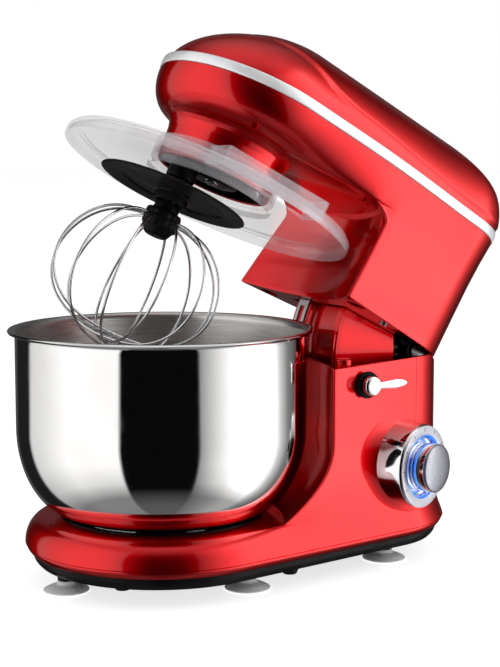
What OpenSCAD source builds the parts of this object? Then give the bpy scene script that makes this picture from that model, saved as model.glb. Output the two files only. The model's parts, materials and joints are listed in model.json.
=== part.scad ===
// Tilt-head stand mixer with a steel bowl, balloon whisk and clear splash guard.
// Origin: bowl axis on the table plane. +Z up, the nose points to -X, the controls face -Y.
// Head parts are drawn with the head closed and then turned up by head_open about the hinge.

/* [Pose] */
// Angle of the raised head above its closed position, degrees
head_open = 27; // [20:1:28]

/* [Bowl] */
// Outer radius of the rolled bowl rim
bowl_rim_r = 115; // [110:1:116]
// Outer radius of the straight bowl wall
bowl_wall_r = 109.5; // [104:0.5:110]
// Height of the bowl rim above the table
bowl_rim_z = 192; // [188:1:192]
// Sheet thickness of the bowl
bowl_sheet = 1.2; // [0.8:0.1:1.5]
// Outer radius of the foot ring
foot_ring_r = 70; // [66:1:71]

/* [Stand] */
// Radius of the base round the bowl, at the seam
base_front_r = 104; // [100:1:106]
// Radius of the base tail, at the seam
base_tail_r = 78; // [72:1:80]
// Centre of the base tail arc behind the bowl axis
base_tail_x = 169; // [165:1:175]
// Height of the split between column and head leg
split_z = 162; // [160:1:164]
// Wall thickness of the casings
wall = 3; // [2.5:0.5:3]

/* [Head] */
// Half width of the head at the trim strip
head_front_r = 77; // [74:1:80]
// Tail radius of the head at the trim strip
head_tail_r = 50; // [46:1:52]
// Centre of the tail arc of the head
head_tail_x = 204; // [204:1:205]
// Lower edge of the trim strip, head closed
strip_z = 270; // [268:1:272]
// Height of the trim strip
strip_h = 8; // [6:1:9]
// Height of the head ridge above the table, head closed
ridge_z = 330; // [324:1:334]
// Distance of the hinge axis behind the bowl axis
hinge_x = 220; // [218:1:221]

/* [Drive] */
// Distance from the output axis to the tool axis
tool_offset = 30; // [30:1:30]
// Teeth of the fixed ring gear
ring_teeth = 80; // [80:1:80]
// Teeth of the planet pinion
pinion_teeth = 20; // [20:1:20]
// Teeth of the worm wheel
wheel_teeth = 40; // [40:1:40]
// Threads on the worm
worm_starts = 2; // [2:1:2]

/* [Whisk] */
// Largest radius of the whisk balloon
whisk_r = 64; // [55:1:65]
// Lowest point of the whisk above the table, head closed
whisk_low_z = 56; // [55:1:64]
// Number of wire loops
whisk_loops = 6; // [4:1:6]
// Wire thickness
wire_d = 2.0; // [1.5:0.1:2]

/* [Controls] */
// Radius of the chrome dial bezel at its face
dial_r = 33; // [31:0.5:34]
// Depth of the chrome dial bezel
dial_depth = 22; // [19:1:22]
// Length of the release lever arm
lever_len = 31; // [26:1:33]

/* [Hidden] */
$fn = 64;

// Points along each stretch of a plan outline
front_n = 16;
side_n = 3;
tail_n = 10;

// Stand levels
cup_top_z = 8;
plate_z = 15;
rim_z = 24;
seam_z = 31;
pad_z = 50;
flare_z = 107;

// Head levels, head closed
pan_z = 240;
leg_z = split_z + 0.5;
top_h = ridge_z - strip_z;
// Centre of the tail of the leg where it meets the pan
leg_tail_x = 199;

// Dial and lever frames: places on the column wall, and the dial's turn towards the tail
dial_at = [184, -52.5, 78];
dial_turn = 22;
// How much wider the bezel is at the casing than at its face
dial_flare = 3;
// Radius of the recess in the bezel that holds the plate and the light ring
dial_recess_r = 25;
lever_at = [137, -73, 147];

// Drive line, head closed
tool_turn = 195;
motor_y = 33;
wheel_z = 264;
gear_module = 1;
worm_module = 1.25;
worm_r = 8;
ring_z = 224;
pin_z = 162;

// Strap radius about the hinge, and its place across the column
strap_r = 94;
strap_y = 12;

// Inner face of the hinge frame's cheeks
frame_y = 12;

// ---------------------------------------------------------------- shape helpers

function lerp(a, b, t) = a + (b - a) * t;

// Half width at x of the straight side that touches two arcs on the centre line
function side_y(c1, r1, c2, r2, x) =
  let (s = (r1 - r2) / (c2 - c1)) (r1 - (x - c1) * s) / sqrt(1 - s * s);

// Angle at which that side leaves the front arc
function side_angle(c1, r1, c2, r2) = 90 - asin((r1 - r2) / (c2 - c1));

// Front stretch of an outline, hollowed towards xc
function hollow_front(xf, yf, xc) = [
  for (i = [1 : front_n - 1])
    let (y = yf * (1 - 2 * i / front_n)) [xf + (xc - xf) * (1 - pow(y / yf, 2)), y]
];

// Front stretch of an outline, round about [c1, 0]
function round_front(c1, r1, a0) = [
  for (i = [1 : front_n - 1])
    let (a = a0 + (360 - 2 * a0) * (i - 1) / (front_n - 2)) [c1 + r1 * cos(a), r1 * sin(a)]
];

// Closed plan outline at height z: near corner, near side, tail arc, far side, front
function outline(z, xf, yf, cx, r, front) =
  let (
    reach = norm([cx - xf, yf]),
    ta = atan2(yf, cx - xf) - 180 + acos(r / reach),
    tx = cx + r * cos(ta),
    ty = r * sin(ta)
  )
  concat(
    [for (i = [0 : side_n - 1]) [lerp(xf, tx, i / side_n), lerp(-yf, ty, i / side_n), z]],
    [for (i = [0 : tail_n]) let (a = lerp(ta, -ta, i / tail_n)) [cx + r * cos(a), r * sin(a), z]],
    [for (i = [1 : side_n]) [lerp(tx, xf, i / side_n), lerp(-ty, yf, i / side_n), z]],
    [for (p = front) [p[0], p[1], z]]
  );

// Teardrop outline between two arcs, with its corners at xf
function teardrop(z, c1, r1, c2, r2, xf) =
  outline(z, xf, side_y(c1, r1, c2, r2, xf), c2, r2,
    round_front(c1, r1, side_angle(c1, r1, c2, r2)));

// Skin over rings of equal count, listed from the top of the outside to the top of the inside.
// With looped the last ring joins the first, otherwise both end rings are capped.
module skin(rings, looped) {
  n = len(rings[0]);
  m = len(rings);
  last = looped ? m - 1 : m - 2;
  points = [for (r = rings) for (p = r) p];
  sides = [
    for (i = [0 : last]) for (j = [0 : n - 1])
      let (a = i * n + j, b = i * n + (j + 1) % n, k = (i + 1) % m, c = k * n + (j + 1) % n,
        d = k * n + j)
      for (f = [[a, b, c], [a, c, d]]) f
  ];
  caps = looped ? [] : [
    [for (j = [0 : n - 1]) n - 1 - j],
    [for (j = [0 : n - 1]) (m - 1) * n + j]
  ];
  polyhedron(points = points, faces = concat(sides, caps), convexity = 10);
}

// Round bar of radius r along a list of points in one plane whose normal is given
module sweep_wire(path, r, normal, sides) {
  m = len(path);
  points = [
    for (i = [0 : m - 1])
      let (
        d = path[min(i + 1, m - 1)] - path[max(i - 1, 0)],
        t = d / norm(d),
        u = cross(t, normal)
      )
      for (k = [0 : sides - 1])
        path[i] + r * (cos(360 * k / sides) * u + sin(360 * k / sides) * normal)
  ];
  quads = [
    for (i = [0 : m - 2]) for (k = [0 : sides - 1])
      let (a = i * sides + k, b = i * sides + (k + 1) % sides)
      for (f = [[a, a + sides, b + sides], [a, b + sides, b]]) f
  ];
  ends = [
    [for (k = [0 : sides - 1]) k],
    [for (k = [0 : sides - 1]) m * sides - 1 - k]
  ];
  polyhedron(points = points, faces = concat(quads, ends), convexity = 10);
}

// Turns the closed head up about the hinge
module raised() {
  translate([hinge_x, 0, split_z]) rotate([0, head_open, 0]) translate([-hinge_x, 0, -split_z])
    children();
}

module on_tool_axis() {
  rotate([0, 0, tool_turn]) translate([tool_offset, 0, 0]) children();
}

module on_dial() {
  translate(dial_at) rotate([0, 0, dial_turn]) rotate([90, 0, 0]) children();
}

module on_lever() {
  translate(lever_at) rotate([90, 0, 0]) children();
}

// Bar along Y, centred on the hinge plane
module cross_bar(x, z, r, w) {
  translate([x, w / 2, z]) rotate([90, 0, 0]) cylinder(r = r, h = w);
}

module mirrored_y() {
  children();
  mirror([0, 1, 0]) children();
}

// Tube from z1 to z2
module tube(r_out, r_in, z1, z2) {
  translate([0, 0, z1]) difference() {
    cylinder(r = r_out, h = z2 - z1);
    translate([0, 0, -1]) cylinder(r = r_in, h = z2 - z1 + 2);
  }
}

// ---------------------------------------------------------------- stand casing

// How far the column has flared into the base at height z, 0 to 1
function flare(z) = z >= flare_z ? 0 : pow((flare_z - z) / (flare_z - pad_z), 2.2);

function column_ring(z, inset) =
  let (f = flare(z), xf = lerp(101, 52, f) + inset, yf = lerp(82, 89, f) - inset)
  outline(z, xf, yf, lerp(190, 171, f), lerp(52.7, 70, f) - inset,
    hollow_front(xf, yf, lerp(120, 84, f) + inset));

function pad_ring(z, grow) =
  teardrop(z, 0, base_front_r + grow, base_tail_x, base_tail_r + grow, 50);

// Casing of base and column as one shell, open below and above
module stand_shell() {
  column_z = [split_z, 135, flare_z, 92, 78, 66, 57];
  outside = concat(
    [for (z = column_z) column_ring(z, 0)],
    [column_ring(pad_z + 1, 0), pad_ring(pad_z, -14), pad_ring(47, -8), pad_ring(42, -3.5),
      pad_ring(36, -1), pad_ring(seam_z, 0)]
  );
  inside = concat(
    [pad_ring(seam_z, -wall), pad_ring(38, -wall - 2), pad_ring(44, -wall - 8)],
    [pad_ring(pad_z - wall, -wall - 14), column_ring(pad_z + 1, wall)],
    [for (i = [len(column_z) - 1 : -1 : 0]) column_ring(column_z[i], wall)]
  );
  skin(concat(outside, inside), true);
}

// Space above the slope that clears the rear of the raised head
module rear_slope() {
  translate([hinge_x - 1.5, -100, split_z - 0.2]) rotate([0, head_open + 0.5, 0])
    cube([80, 200, 60]);
}

module stand_housing() {
  color("crimson") difference() {
    stand_shell();
    translate([0, 0, 40]) cylinder(r = 77.3, h = 20);
    translate([199, -100, 62]) cube([100, 200, 120]);
    on_dial() translate([0, 0, -20]) cylinder(r = dial_recess_r + 0.2, h = 46);
    on_lever() translate([0, 0, -20]) cylinder(r = 7.3, h = 40);
  }
}

module column_rear_cover() {
  color("crimson") difference() {
    intersection() {
      stand_shell();
      translate([199.4, -100, 62.4]) cube([100, 200, 120]);
    }
    rear_slope();
    on_dial() translate([0, 0, -6.3]) cylinder(r = dial_r + dial_flare + 0.3, h = dial_depth + 6);
    translate([260, 0, 75]) rotate([0, -90, 0]) cylinder(r = 7, h = 60);
  }
}

module base_lower_rim() {
  color("crimson") skin([
    pad_ring(seam_z - 0.3, -0.6), pad_ring(rim_z, -4.6), pad_ring(rim_z, -8),
    pad_ring(seam_z - 0.3, -4)
  ], true);
}

module bottom_plate() {
  color([0.05, 0.05, 0.05]) difference() {
    skin([pad_ring(rim_z - 0.2, -5.6), pad_ring(plate_z + 3, -8.5), pad_ring(plate_z, -12)], false);
    for (p = screw_places) translate([p[0], p[1], plate_z - 1]) cylinder(r = 3.6, h = 4);
  }
}

// Suction feet: one in front, two beside the bowl, two under the column
cup_places = [[-80, 0], [39, -62], [39, 62], [176, -43], [176, 43]];
stub_places = [[-52, -38], [-52, 38], [76, -62], [76, 62]];
screw_places = [[-30, -60], [-30, 60], [110, -55], [110, 55], [215, 0]];

module suction_cups() {
  color([0.93, 0.93, 0.92]) for (p = cup_places) translate([p[0], p[1], 0]) rotate_extrude() polygon([
    [14, 0], [17, 0], [17.2, 1.2], [12, 3.6], [7, 5.4], [6, cup_top_z], [0, cup_top_z], [0, 3.5], [7, 2.6]
  ]);
}

module cup_stems() {
  color([0.06, 0.06, 0.06]) for (p = cup_places) translate([p[0], p[1], cup_top_z]) {
    cylinder(r = 6.5, h = 3);
    cylinder(r = 4.5, h = plate_z - cup_top_z);
  }
}

module foot_stubs() {
  color([0.06, 0.06, 0.06]) for (p = stub_places) translate([p[0], p[1], 6])
    cylinder(r1 = 5.5, r2 = 9, h = plate_z - 6);
}

module bottom_screws() {
  color("silver") for (p = screw_places) translate([p[0], p[1], plate_z + 0.6]) difference() {
    cylinder(r = 3.5, h = 2.4);
    for (a = [0, 90]) rotate([0, 0, a]) translate([-2.2, -0.4, -1]) cube([4.4, 0.8, 2]);
  }
}

// Dished seat with three lips that hold the lugs of the bowl
module bowl_seat() {
  color([0.04, 0.04, 0.04]) {
    tube(77, 74.4, 44, 51.5);
    tube(74.4, 20, 44, 46);
    for (a = [0 : 120 : 240]) rotate([0, 0, a + 30])
      rotate_extrude(angle = 40) translate([71.4, 50.3]) square([3.6, 1.2]);
  }
}

// Curved cover between column and head leg, centred on the hinge
module hinge_shroud() {
  color("crimson") difference() {
    intersection() {
      cross_bar(hinge_x, split_z, 87, 70);
      translate([133, -35, 154.5]) cube([56, 70, 51]);
    }
    cross_bar(hinge_x, split_z, 84, 64);
    translate([190, -32, 130]) cube([20, 64, 80]);
  }
}

module column_pegs() {
  color("crimson") mirrored_y() translate([122, -64, split_z - 6]) {
    cylinder(r = 6.5, h = 11);
    translate([-5, -9, 0]) cube([12, 10, 4]);
  }
}

// Pressed frame inside the column that carries the hinge pin
module hinge_frame() {
  color("silver") difference() {
    union() {
      mirrored_y() {
        translate([196, frame_y, 60]) cube([32, 4, 98]);
        translate([hinge_x, frame_y + 4, split_z]) rotate([90, 0, 0]) cylinder(r = 11, h = 4);
      }
      translate([196, -frame_y - 4, 60]) cube([32, 2 * frame_y + 8, 4]);
    }
    cross_bar(hinge_x, split_z, 5, 80);
  }
}

module hinge_pin() {
  color("gainsboro") {
    cross_bar(hinge_x, split_z, 5, 2 * frame_y + 26);
    mirrored_y() translate([hinge_x, frame_y + 14, split_z]) rotate([90, 0, 0])
      cylinder(r = 6.5, h = 1.5);
  }
}

// ---------------------------------------------------------------- dial

module dial_bezel() {
  color("gainsboro") on_dial() rotate_extrude() polygon([
    [9, -6], [dial_r + dial_flare, -6], [dial_r + dial_flare, 1], [dial_r, dial_depth - 1.5],
    [dial_r - 1.5, dial_depth], [dial_recess_r, dial_depth], [dial_recess_r, -3], [9, -3]
  ]);
}

module dial_face() {
  color([0.75, 0.75, 0.78]) on_dial() difference() {
    union() {
      tube(24.8, 10, 13.5, 15.5);
      tube(dial_r - 0.7, 25.1, dial_depth, dial_depth + 0.6);
    }
    for (i = [0 : 8]) rotate([0, 0, -30 + i * 30])
      translate([dial_r - 4.6, -0.4, dial_depth + 0.3]) cube([2.4, 0.8, 1]);
  }
}

module led_ring() {
  color([0.2, 0.5, 1]) on_dial() {
    tube(24.8, 22.2, 15.7, dial_depth + 0.4);
    tube(20.2, 19.4, 15.7, 17.5);
  }
}

module speed_switch() {
  color([0.1, 0.1, 0.1]) on_dial() {
    tube(13, 4.4, -20, -6);
    translate([-6, 13, -18]) cube([12, 5, 8]);
  }
}

module control_board() {
  color("seagreen") difference() {
    translate([132, -22, 66]) cube([44, 1.6, 50]);
    for (x = [137, 171]) for (z = [71, 111]) translate([x, -18, z]) rotate([90, 0, 0])
      cylinder(r = 1.6, h = 6);
  }
}

module inlet_gland() {
  color([0.08, 0.08, 0.08]) translate([0, 0, 75]) rotate([0, 90, 0]) {
    tube(6.8, 4, 228, 246);
    tube(9.5, 4, 243.8, 246.3);
  }
}

module knob_sleeve() {
  color("gainsboro") on_dial() {
    tube(19, 16.5, 16, 33);
    tube(16.6, 6.1, 22, 25);
  }
}

module knob_cap() {
  color("silver") on_dial() rotate_extrude() polygon([
    [0, 33.2], [18.6, 33.2], [19, 34], [18, 35], [10, 36.4], [0, 37]
  ]);
}

module knob_shaft() {
  color("gray") on_dial() {
    translate([0, 0, -19]) cylinder(r = 4.35, h = 38);
    translate([0, 0, 19]) cylinder(r = 6, h = 14);
  }
}

// ---------------------------------------------------------------- release lever and latch

module lever_bush() {
  color([0.05, 0.05, 0.05]) on_lever() {
    tube(7, 4.05, -10, 2);
    tube(10.5, 4.05, 1.6, 3.4);
  }
}

module release_lever() {
  color("gainsboro") on_lever() {
    translate([0, 0, 3.7]) cylinder(r = 7.6, h = 7.6);
    hull() {
      translate([3, 0, 7]) cylinder(r = 3.4, h = 3.4, $fn = 32);
      translate([lever_len * 0.55, 0.3, 7]) cylinder(r = 3.6, h = 2.8, $fn = 32);
      translate([lever_len, 0.6, 7.4]) cylinder(r = 1.2, h = 1.8, $fn = 32);
    }
  }
}

module latch_shaft() {
  color("gray") on_lever() translate([0, 0, -94]) cylinder(r = 4, h = 97.6);
}

// Nose that stands in the slot of the strap and swings out when the lever turns
module latch_nose() {
  reach = 10.6;
  color("silver") on_lever() translate([0, 0, -strap_y - 73 - 3.5]) difference() {
    union() {
      cylinder(r = 6.4, h = 7);
      rotate([0, 0, 190]) translate([5, -2.5, 0.5]) cube([reach - 5, 5, 6]);
    }
    translate([0, 0, -1]) cylinder(r = 4, h = 10);
  }
}

// Torsion spring, drawn as its close turns side by side
module latch_spring() {
  color("dimgray") on_lever() for (i = [0 : 5]) tube(5.9, 4.3, -30 + i * 2.2, -28.6 + i * 2.2);
}

// ---------------------------------------------------------------- bowl

bowl_floor_z = 51;
bowl_curve_z = 118;
curve_n = 12;

// Points of the rounded lower wall, pulled in by t
function bowl_curve(t) = [
  for (i = [0 : curve_n])
    let (a = 90 * i / curve_n)
    [66 + (bowl_wall_r - 66 - t) * cos(a), bowl_curve_z - (bowl_curve_z - bowl_floor_z - t) * sin(a)]
];

module mixing_bowl() {
  outer = bowl_curve(0);
  inner = bowl_curve(bowl_sheet);
  lip_r = bowl_rim_r - 1.6;
  color("silver") rotate_extrude() polygon(concat(
    [[bowl_wall_r, bowl_rim_z - 6], [bowl_rim_r - 3, bowl_rim_z - 3.2], [bowl_rim_r, bowl_rim_z - 1.6],
      [lip_r, bowl_rim_z], [bowl_wall_r - bowl_sheet, bowl_rim_z - 5]],
    [for (i = [0 : curve_n]) inner[i]],
    [[0, bowl_floor_z + bowl_sheet], [0, bowl_floor_z]],
    [for (i = [curve_n : -1 : 0]) outer[i]]
  ));
}

// Foot ring with three lugs under the lips of the seat
module bowl_foot_ring() {
  color("gainsboro") {
    tube(foot_ring_r, foot_ring_r - 1.6, 46.4, 51);
    tube(foot_ring_r - 1.6, foot_ring_r - 9, 49.8, 50.9);
    for (a = [0 : 120 : 240]) rotate([0, 0, a + 40])
      rotate_extrude(angle = 20) translate([foot_ring_r - 0.2, 47.4]) square([3.8, 1.8]);
  }
}

// ---------------------------------------------------------------- head casing

// Outline of the top cover at a height above the strip, as a share u of the full height
function top_ring(u, inset) =
  let (
    k = sqrt(max(0, 1 - u * u)),
    r1 = max(head_front_r * k - inset, 3),
    r2 = max(head_tail_r * pow(k, 0.95) - inset, 2.5),
    c1 = 7 + 21 * u * u,
    c2 = head_tail_x + 2 - 50 * pow(u, 8)
  )
  teardrop(strip_z + top_h * u - (u > 0.5 ? inset : 0), c1, r1, c2, r2, 106);

module head_top_cover() {
  base_u = (strip_h + 0.3) / top_h;
  levels = [0.985, 0.95, 0.88, 0.78, 0.66, 0.52, 0.36, 0.24];
  n = len(levels);
  color("crimson") raised() skin(concat(
    [for (u = levels) top_ring(u, 0)],
    [top_ring(base_u, 0), top_ring(base_u, wall)],
    [for (i = [n - 1 : -1 : 0]) top_ring(levels[i], wall)]
  ), false);
}

function strip_ring(z, grow) =
  teardrop(z, 7, head_front_r + grow, head_tail_x, head_tail_r + grow, 106);

module trim_strip() {
  color("silver") raised() skin([
    strip_ring(strip_z + strip_h, 0.2), strip_ring(strip_z + strip_h / 2, 0.8),
    strip_ring(strip_z + 0.3, 0.8), strip_ring(strip_z + 0.3, -2.5), strip_ring(strip_z + strip_h, -2.5)
  ], true);
}

// Pan of the head below the strip, narrower in front as it nears the neck
function pan_ring(z, inset) =
  let (
    d = (strip_z - z) / (strip_z - pan_z),
    k = sqrt(max(0, 1 - d * d)),
    r1 = 48 + (head_front_r - 48) * k - inset,
    c1 = 7 * (1 - d),
    t = lerp(1, 0.985, d),
    xf = 106,
    yf = side_y(7, head_front_r, head_tail_x, head_tail_r, xf) + 4.5 * d - inset
  )
  outline(z, xf, yf, lerp(head_tail_x, leg_tail_x, d), head_tail_r * t - inset,
    round_front(c1, r1, lerp(82, 84, d)));

function leg_ring(z, inset) =
  let (
    d = (pan_z - z) / (pan_z - leg_z),
    xf = lerp(107, 101, d) + inset,
    yf = lerp(74, 82, d) - inset
  )
  outline(z, xf, yf, lerp(leg_tail_x, 190, d), lerp(50, 52.7, d) - inset,
    hollow_front(xf, yf, lerp(122, 120, d) + inset));

// Lower casing: shallow pan over the bowl and the hollow leg that rests on the column
module head_lower_housing() {
  leg_levels = [pan_z - 0.8, 210, 186, leg_z];
  pan_levels = [strip_z - 0.3, 265, 258, 250, 244, pan_z];
  color("crimson") raised() difference() {
    skin(concat(
      [for (z = pan_levels) pan_ring(z, 0)],
      [for (z = leg_levels) leg_ring(z, 0)],
      [for (i = [3 : -1 : 0]) leg_ring(leg_levels[i], wall)],
      [leg_ring(pan_z + 2.5, wall), pan_ring(pan_z + 3, wall + 2)],
      [for (i = [4 : -1 : 0]) pan_ring(pan_levels[i], wall)]
    ), true);
    translate([0, 0, 230]) cylinder(r = 22, h = 20);
  }
}

module neck_collar() {
  color("crimson") raised() difference() {
    translate([0, 0, 206]) cylinder(r1 = 45.2, r2 = 47, h = pan_z - 207.1);
    translate([0, 0, 200]) cylinder(r = 43.6, h = 36);
    translate([0, 0, 230]) cylinder(r = 22, h = 20);
  }
}

// Plate that closes the underside of the leg round the hinge opening
module leg_bottom_cover() {
  rim = leg_ring(leg_z, wall + 0.2);
  strap_x = hinge_x - strap_r - 1.6;
  color("crimson") raised() translate([0, 0, leg_z + 0.2]) linear_extrude(height = 2.8) difference() {
    polygon([for (p = rim) [p[0], p[1]]]);
    translate([129, -39]) square([140, 78]);
    translate([214, -70]) square([60, 140]);
    translate([strap_x, strap_y - 9.5]) square([10, 19]);
    for (s = [-1, 1]) translate([122, s * 64]) circle(r = 7.5);
    for (s = [-1, 1]) translate([160, s * 52]) circle(r = 2.2);
  }
}

// Screws that hold the plate up to the leg
module head_screws() {
  color("silver") raised() mirrored_y() translate([160, -52, leg_z - 1.4]) difference() {
    cylinder(r = 3.4, h = 1.5);
    translate([-2, -0.4, -1]) cube([4, 0.8, 1.8]);
  }
}

// Curved steel strap whose long slot rides over the latch nose
module lock_strap() {
  half = 7;
  color("silver") {
    translate([hinge_x, strap_y + half, split_z]) rotate([90, 0, 0]) difference() {
      rotate([0, 0, 146]) rotate_extrude(angle = 56) translate([strap_r - 1, 0]) square([2, 2 * half]);
      rotate([0, 0, 156]) rotate_extrude(angle = 38) translate([strap_r - 4, half - 4]) square([8, 8]);
    }
    raised() translate([124, strap_y - 14, leg_z + 3.4]) cube([8.2, 28, 2]);
  }
}

// Side plates that hang the head on the hinge pin
module head_bracket() {
  color("silver") raised() difference() {
    union() {
      mirrored_y() {
        translate([202, frame_y + 8, split_z]) cube([28, 3, 74]);
        translate([hinge_x, frame_y + 12, split_z]) rotate([90, 0, 0]) cylinder(r = 10, h = 7.5);
      }
      translate([202, -frame_y - 11, 233]) cube([28, 2 * frame_y + 22, 3]);
    }
    cross_bar(hinge_x, split_z, 5.05, 90);
  }
}

// ---------------------------------------------------------------- drive in the head

module gearbox_housing() {
  color("lightgray") raised() difference() {
    union() {
      tube(36, 30, 243.2, 274);
      tube(30, 9.2, 243.2, 246);
      tube(14, 9.2, 246, 252);
      translate([0, 0, 274]) cylinder(r = 36, h = 3);
      translate([0, 0, 277]) cylinder(r = 14, h = 6);
    }
    translate([0, 0, 260]) cylinder(r = 9.2, h = 20.5);
    translate([-45, motor_y, wheel_z]) rotate([0, 90, 0]) cylinder(r = 12, h = 90);
    translate([-45, motor_y - 12, wheel_z - 1]) cube([90, 40, 30]);
    translate([-45, motor_y, wheel_z - 12]) cube([90, 40, 40]);
  }
}

// Fixed ring gear: straight-sided teeth pointing inwards
module ring_gear() {
  tip_r = gear_module * (ring_teeth / 2 - 0.9);
  root_r = gear_module * (ring_teeth / 2 + 1.2);
  color("ivory") raised() {
    tube(43.4, root_r, ring_z, 236);
    for (i = [0 : ring_teeth - 1]) rotate([0, 0, tool_turn + (i + 0.5) * 360 / ring_teeth])
      translate([0, 0, ring_z]) linear_extrude(height = 9) polygon([
        [tip_r, -0.28], [root_r + 0.2, -1.05], [root_r + 0.2, 1.05], [tip_r, 0.28]
      ]);
  }
}

module output_bearings() {
  color("gainsboro") raised() {
    tube(9.2, 6.03, 246.2, 251.8);
    tube(9.2, 6.03, 274.2, 280.2);
  }
}

module on_motor() {
  translate([0, motor_y, wheel_z]) rotate([0, 90, 0]) children();
}

module motor_stator() {
  color("dimgray") raised() on_motor() difference() {
    translate([-20, -19, 88]) cube([40, 38, 44]);
    translate([0, 0, 80]) cylinder(r = 17, h = 60);
  }
}

module motor_end_plates() {
  color("silver") raised() {
    on_motor() for (z = [66, 150]) difference() {
      translate([-17, -21, z]) cube([34, 42, 3]);
      translate([0, 0, z - 1]) cylinder(r = 8, h = 5);
    }
    for (y = [-21, 19.2]) for (z = [-14, 12]) translate([68, motor_y + y, wheel_z + z])
      cube([83, 1.8, 2]);
  }
}

module motor_bearings() {
  color("gainsboro") raised() on_motor() for (z = [66, 150]) tube(8, 4.03, z, z + 3);
}

module carbon_brushes() {
  color([0.15, 0.15, 0.15]) raised() on_motor() for (a = [0, 180]) rotate([0, 0, a])
    translate([9.6, -2.5, 139]) cube([9, 5, 6]);
}

module motor_shaft() {
  color("gray") raised() on_motor() translate([0, 0, 14]) cylinder(r = 4, h = 158);
}

// Worm: a helical thread for each start on a round core
module drive_worm() {
  lead = PI * worm_module * worm_starts;
  core = worm_r - 1.25 * worm_module;
  tip = worm_r + 0.9 * worm_module;
  half_root = worm_module * 1.05;
  half_tip = worm_module * 0.42;
  turns = 3.4;
  steps = 96;
  // Puts a thread, not a gap, where the worm meets the middle of the wheel
  thread_start = -half_root - 1.75 * lead;
  color("goldenrod") raised() on_motor() {
    translate([0, 0, -17]) cylinder(r = core + 0.15, h = 31);
    for (s = [0 : worm_starts - 1]) rotate([0, 0, 360 * s / worm_starts]) helix_thread(
      core, tip, half_root, half_tip, lead, turns, steps, thread_start);
  }
}

module helix_thread(core, tip, half_root, half_tip, lead, turns, steps, start) {
  section = [
    [core - 0.8, -half_root - 0.3], [tip, -half_tip], [tip, half_tip], [core - 0.8, half_root + 0.3]
  ];
  points = [
    for (i = [0 : steps])
      let (a = 360 * turns * i / steps, z = start + half_root + lead * turns * i / steps)
      for (p = section) [p[0] * cos(a), p[0] * sin(a), z + p[1]]
  ];
  quads = [
    for (i = [0 : steps - 1]) for (k = [0 : 3])
      let (a = i * 4 + k, b = i * 4 + (k + 1) % 4)
      for (f = [[a, b + 4, a + 4], [a, b, b + 4]]) f
  ];
  ends = [[3, 2, 1, 0], [for (k = [0 : 3]) steps * 4 + k]];
  polyhedron(points = points, faces = concat(quads, ends), convexity = 10);
}

module armature() {
  color("darkgoldenrod") raised() on_motor() difference() {
    tube(16.4, 4, 90, 130);
    for (i = [0 : 11]) rotate([0, 0, i * 30]) translate([13.4, -0.8, 89]) cube([4, 1.6, 42]);
  }
}

module commutator() {
  color("chocolate") raised() on_motor() difference() {
    tube(9.3, 4, 136, 147);
    for (i = [0 : 11]) rotate([0, 0, i * 30]) translate([8.6, -0.3, 135]) cube([2, 0.6, 13]);
  }
}

module cooling_fan() {
  color([0.2, 0.2, 0.2]) raised() on_motor() {
    tube(8, 4, 74, 84);
    for (i = [0 : 8]) rotate([0, 0, i * 40]) translate([7.6, -0.8, 74]) rotate([0, 0, 20])
      cube([10.5, 1.6, 10]);
  }
}

module output_shaft() {
  color("gray") raised() translate([0, 0, 206]) cylinder(r = 6, h = 73.5);
}

// Worm wheel: each tooth is turned about its radius to lie along the thread
module worm_wheel() {
  pitch = worm_module * wheel_teeth / 2;
  root = pitch - 1.2 * worm_module;
  tip = pitch + 0.85 * worm_module;
  lead_angle = atan(worm_module * worm_starts / (2 * worm_r));
  color("ivory") raised() difference() {
    union() {
      translate([0, 0, wheel_z - 4]) cylinder(r = root + 0.1, h = 8);
      for (i = [0 : wheel_teeth - 1]) rotate([0, 0, 90 + (i + 0.5) * 360 / wheel_teeth])
        translate([0, 0, wheel_z]) rotate([-lead_angle, 0, 0]) translate([0, 0, -2.6])
          linear_extrude(height = 5.2) polygon([
            [root - 0.6, -1.25], [tip, -0.42], [tip, 0.42], [root - 0.6, 1.25]
          ]);
      translate([0, 0, wheel_z - 9]) cylinder(r = 10, h = 18);
    }
    translate([0, 0, wheel_z - 20]) cylinder(r = 6, h = 40);
  }
}

// Arm that carries the tool shaft round the output axis
module planet_carrier() {
  color([0.06, 0.06, 0.06]) raised() difference() {
    union() {
      translate([0, 0, 207]) cylinder(r = 20, h = 14);
      on_tool_axis() translate([0, 0, 207]) cylinder(r = 11.5, h = 14);
      rotate([0, 0, tool_turn]) translate([0, -11.5, 207]) cube([tool_offset, 23, 14]);
    }
    translate([0, 0, 206]) cylinder(r = 6, h = 20);
    on_tool_axis() translate([0, 0, 200]) cylinder(r = 5.05, h = 30);
  }
}

module carrier_screw() {
  color("silver") raised() difference() {
    translate([0, 0, 203.4]) cylinder(r = 5.5, h = 2.6);
    for (a = [0, 90]) rotate([0, 0, a]) translate([-3, -0.6, 202.4]) cube([6, 1.2, 2]);
  }
}

module tool_shaft() {
  color("gray") raised() on_tool_axis() difference() {
    translate([0, 0, pin_z - 8]) cylinder(r = 5, h = 233.5 - pin_z + 8);
    translate([0, 10, pin_z]) rotate([90, 0, 0]) cylinder(r = 1.5, h = 20);
  }
}

module planet_pinion() {
  pitch = gear_module * pinion_teeth / 2;
  color("ivory") raised() on_tool_axis() translate([0, 0, ring_z]) difference() {
    union() {
      cylinder(r = pitch - 1.2, h = 9);
      for (i = [0 : pinion_teeth - 1]) rotate([0, 0, i * 360 / pinion_teeth])
        linear_extrude(height = 9) polygon([
          [pitch - 2, -1.0], [pitch - 0.2, -0.62], [pitch + 0.85, -0.26],
          [pitch + 0.85, 0.26], [pitch - 0.2, 0.62], [pitch - 2, 1.0]
        ]);
    }
    translate([0, 0, -1]) cylinder(r = 5, h = 11);
  }
}

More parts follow.
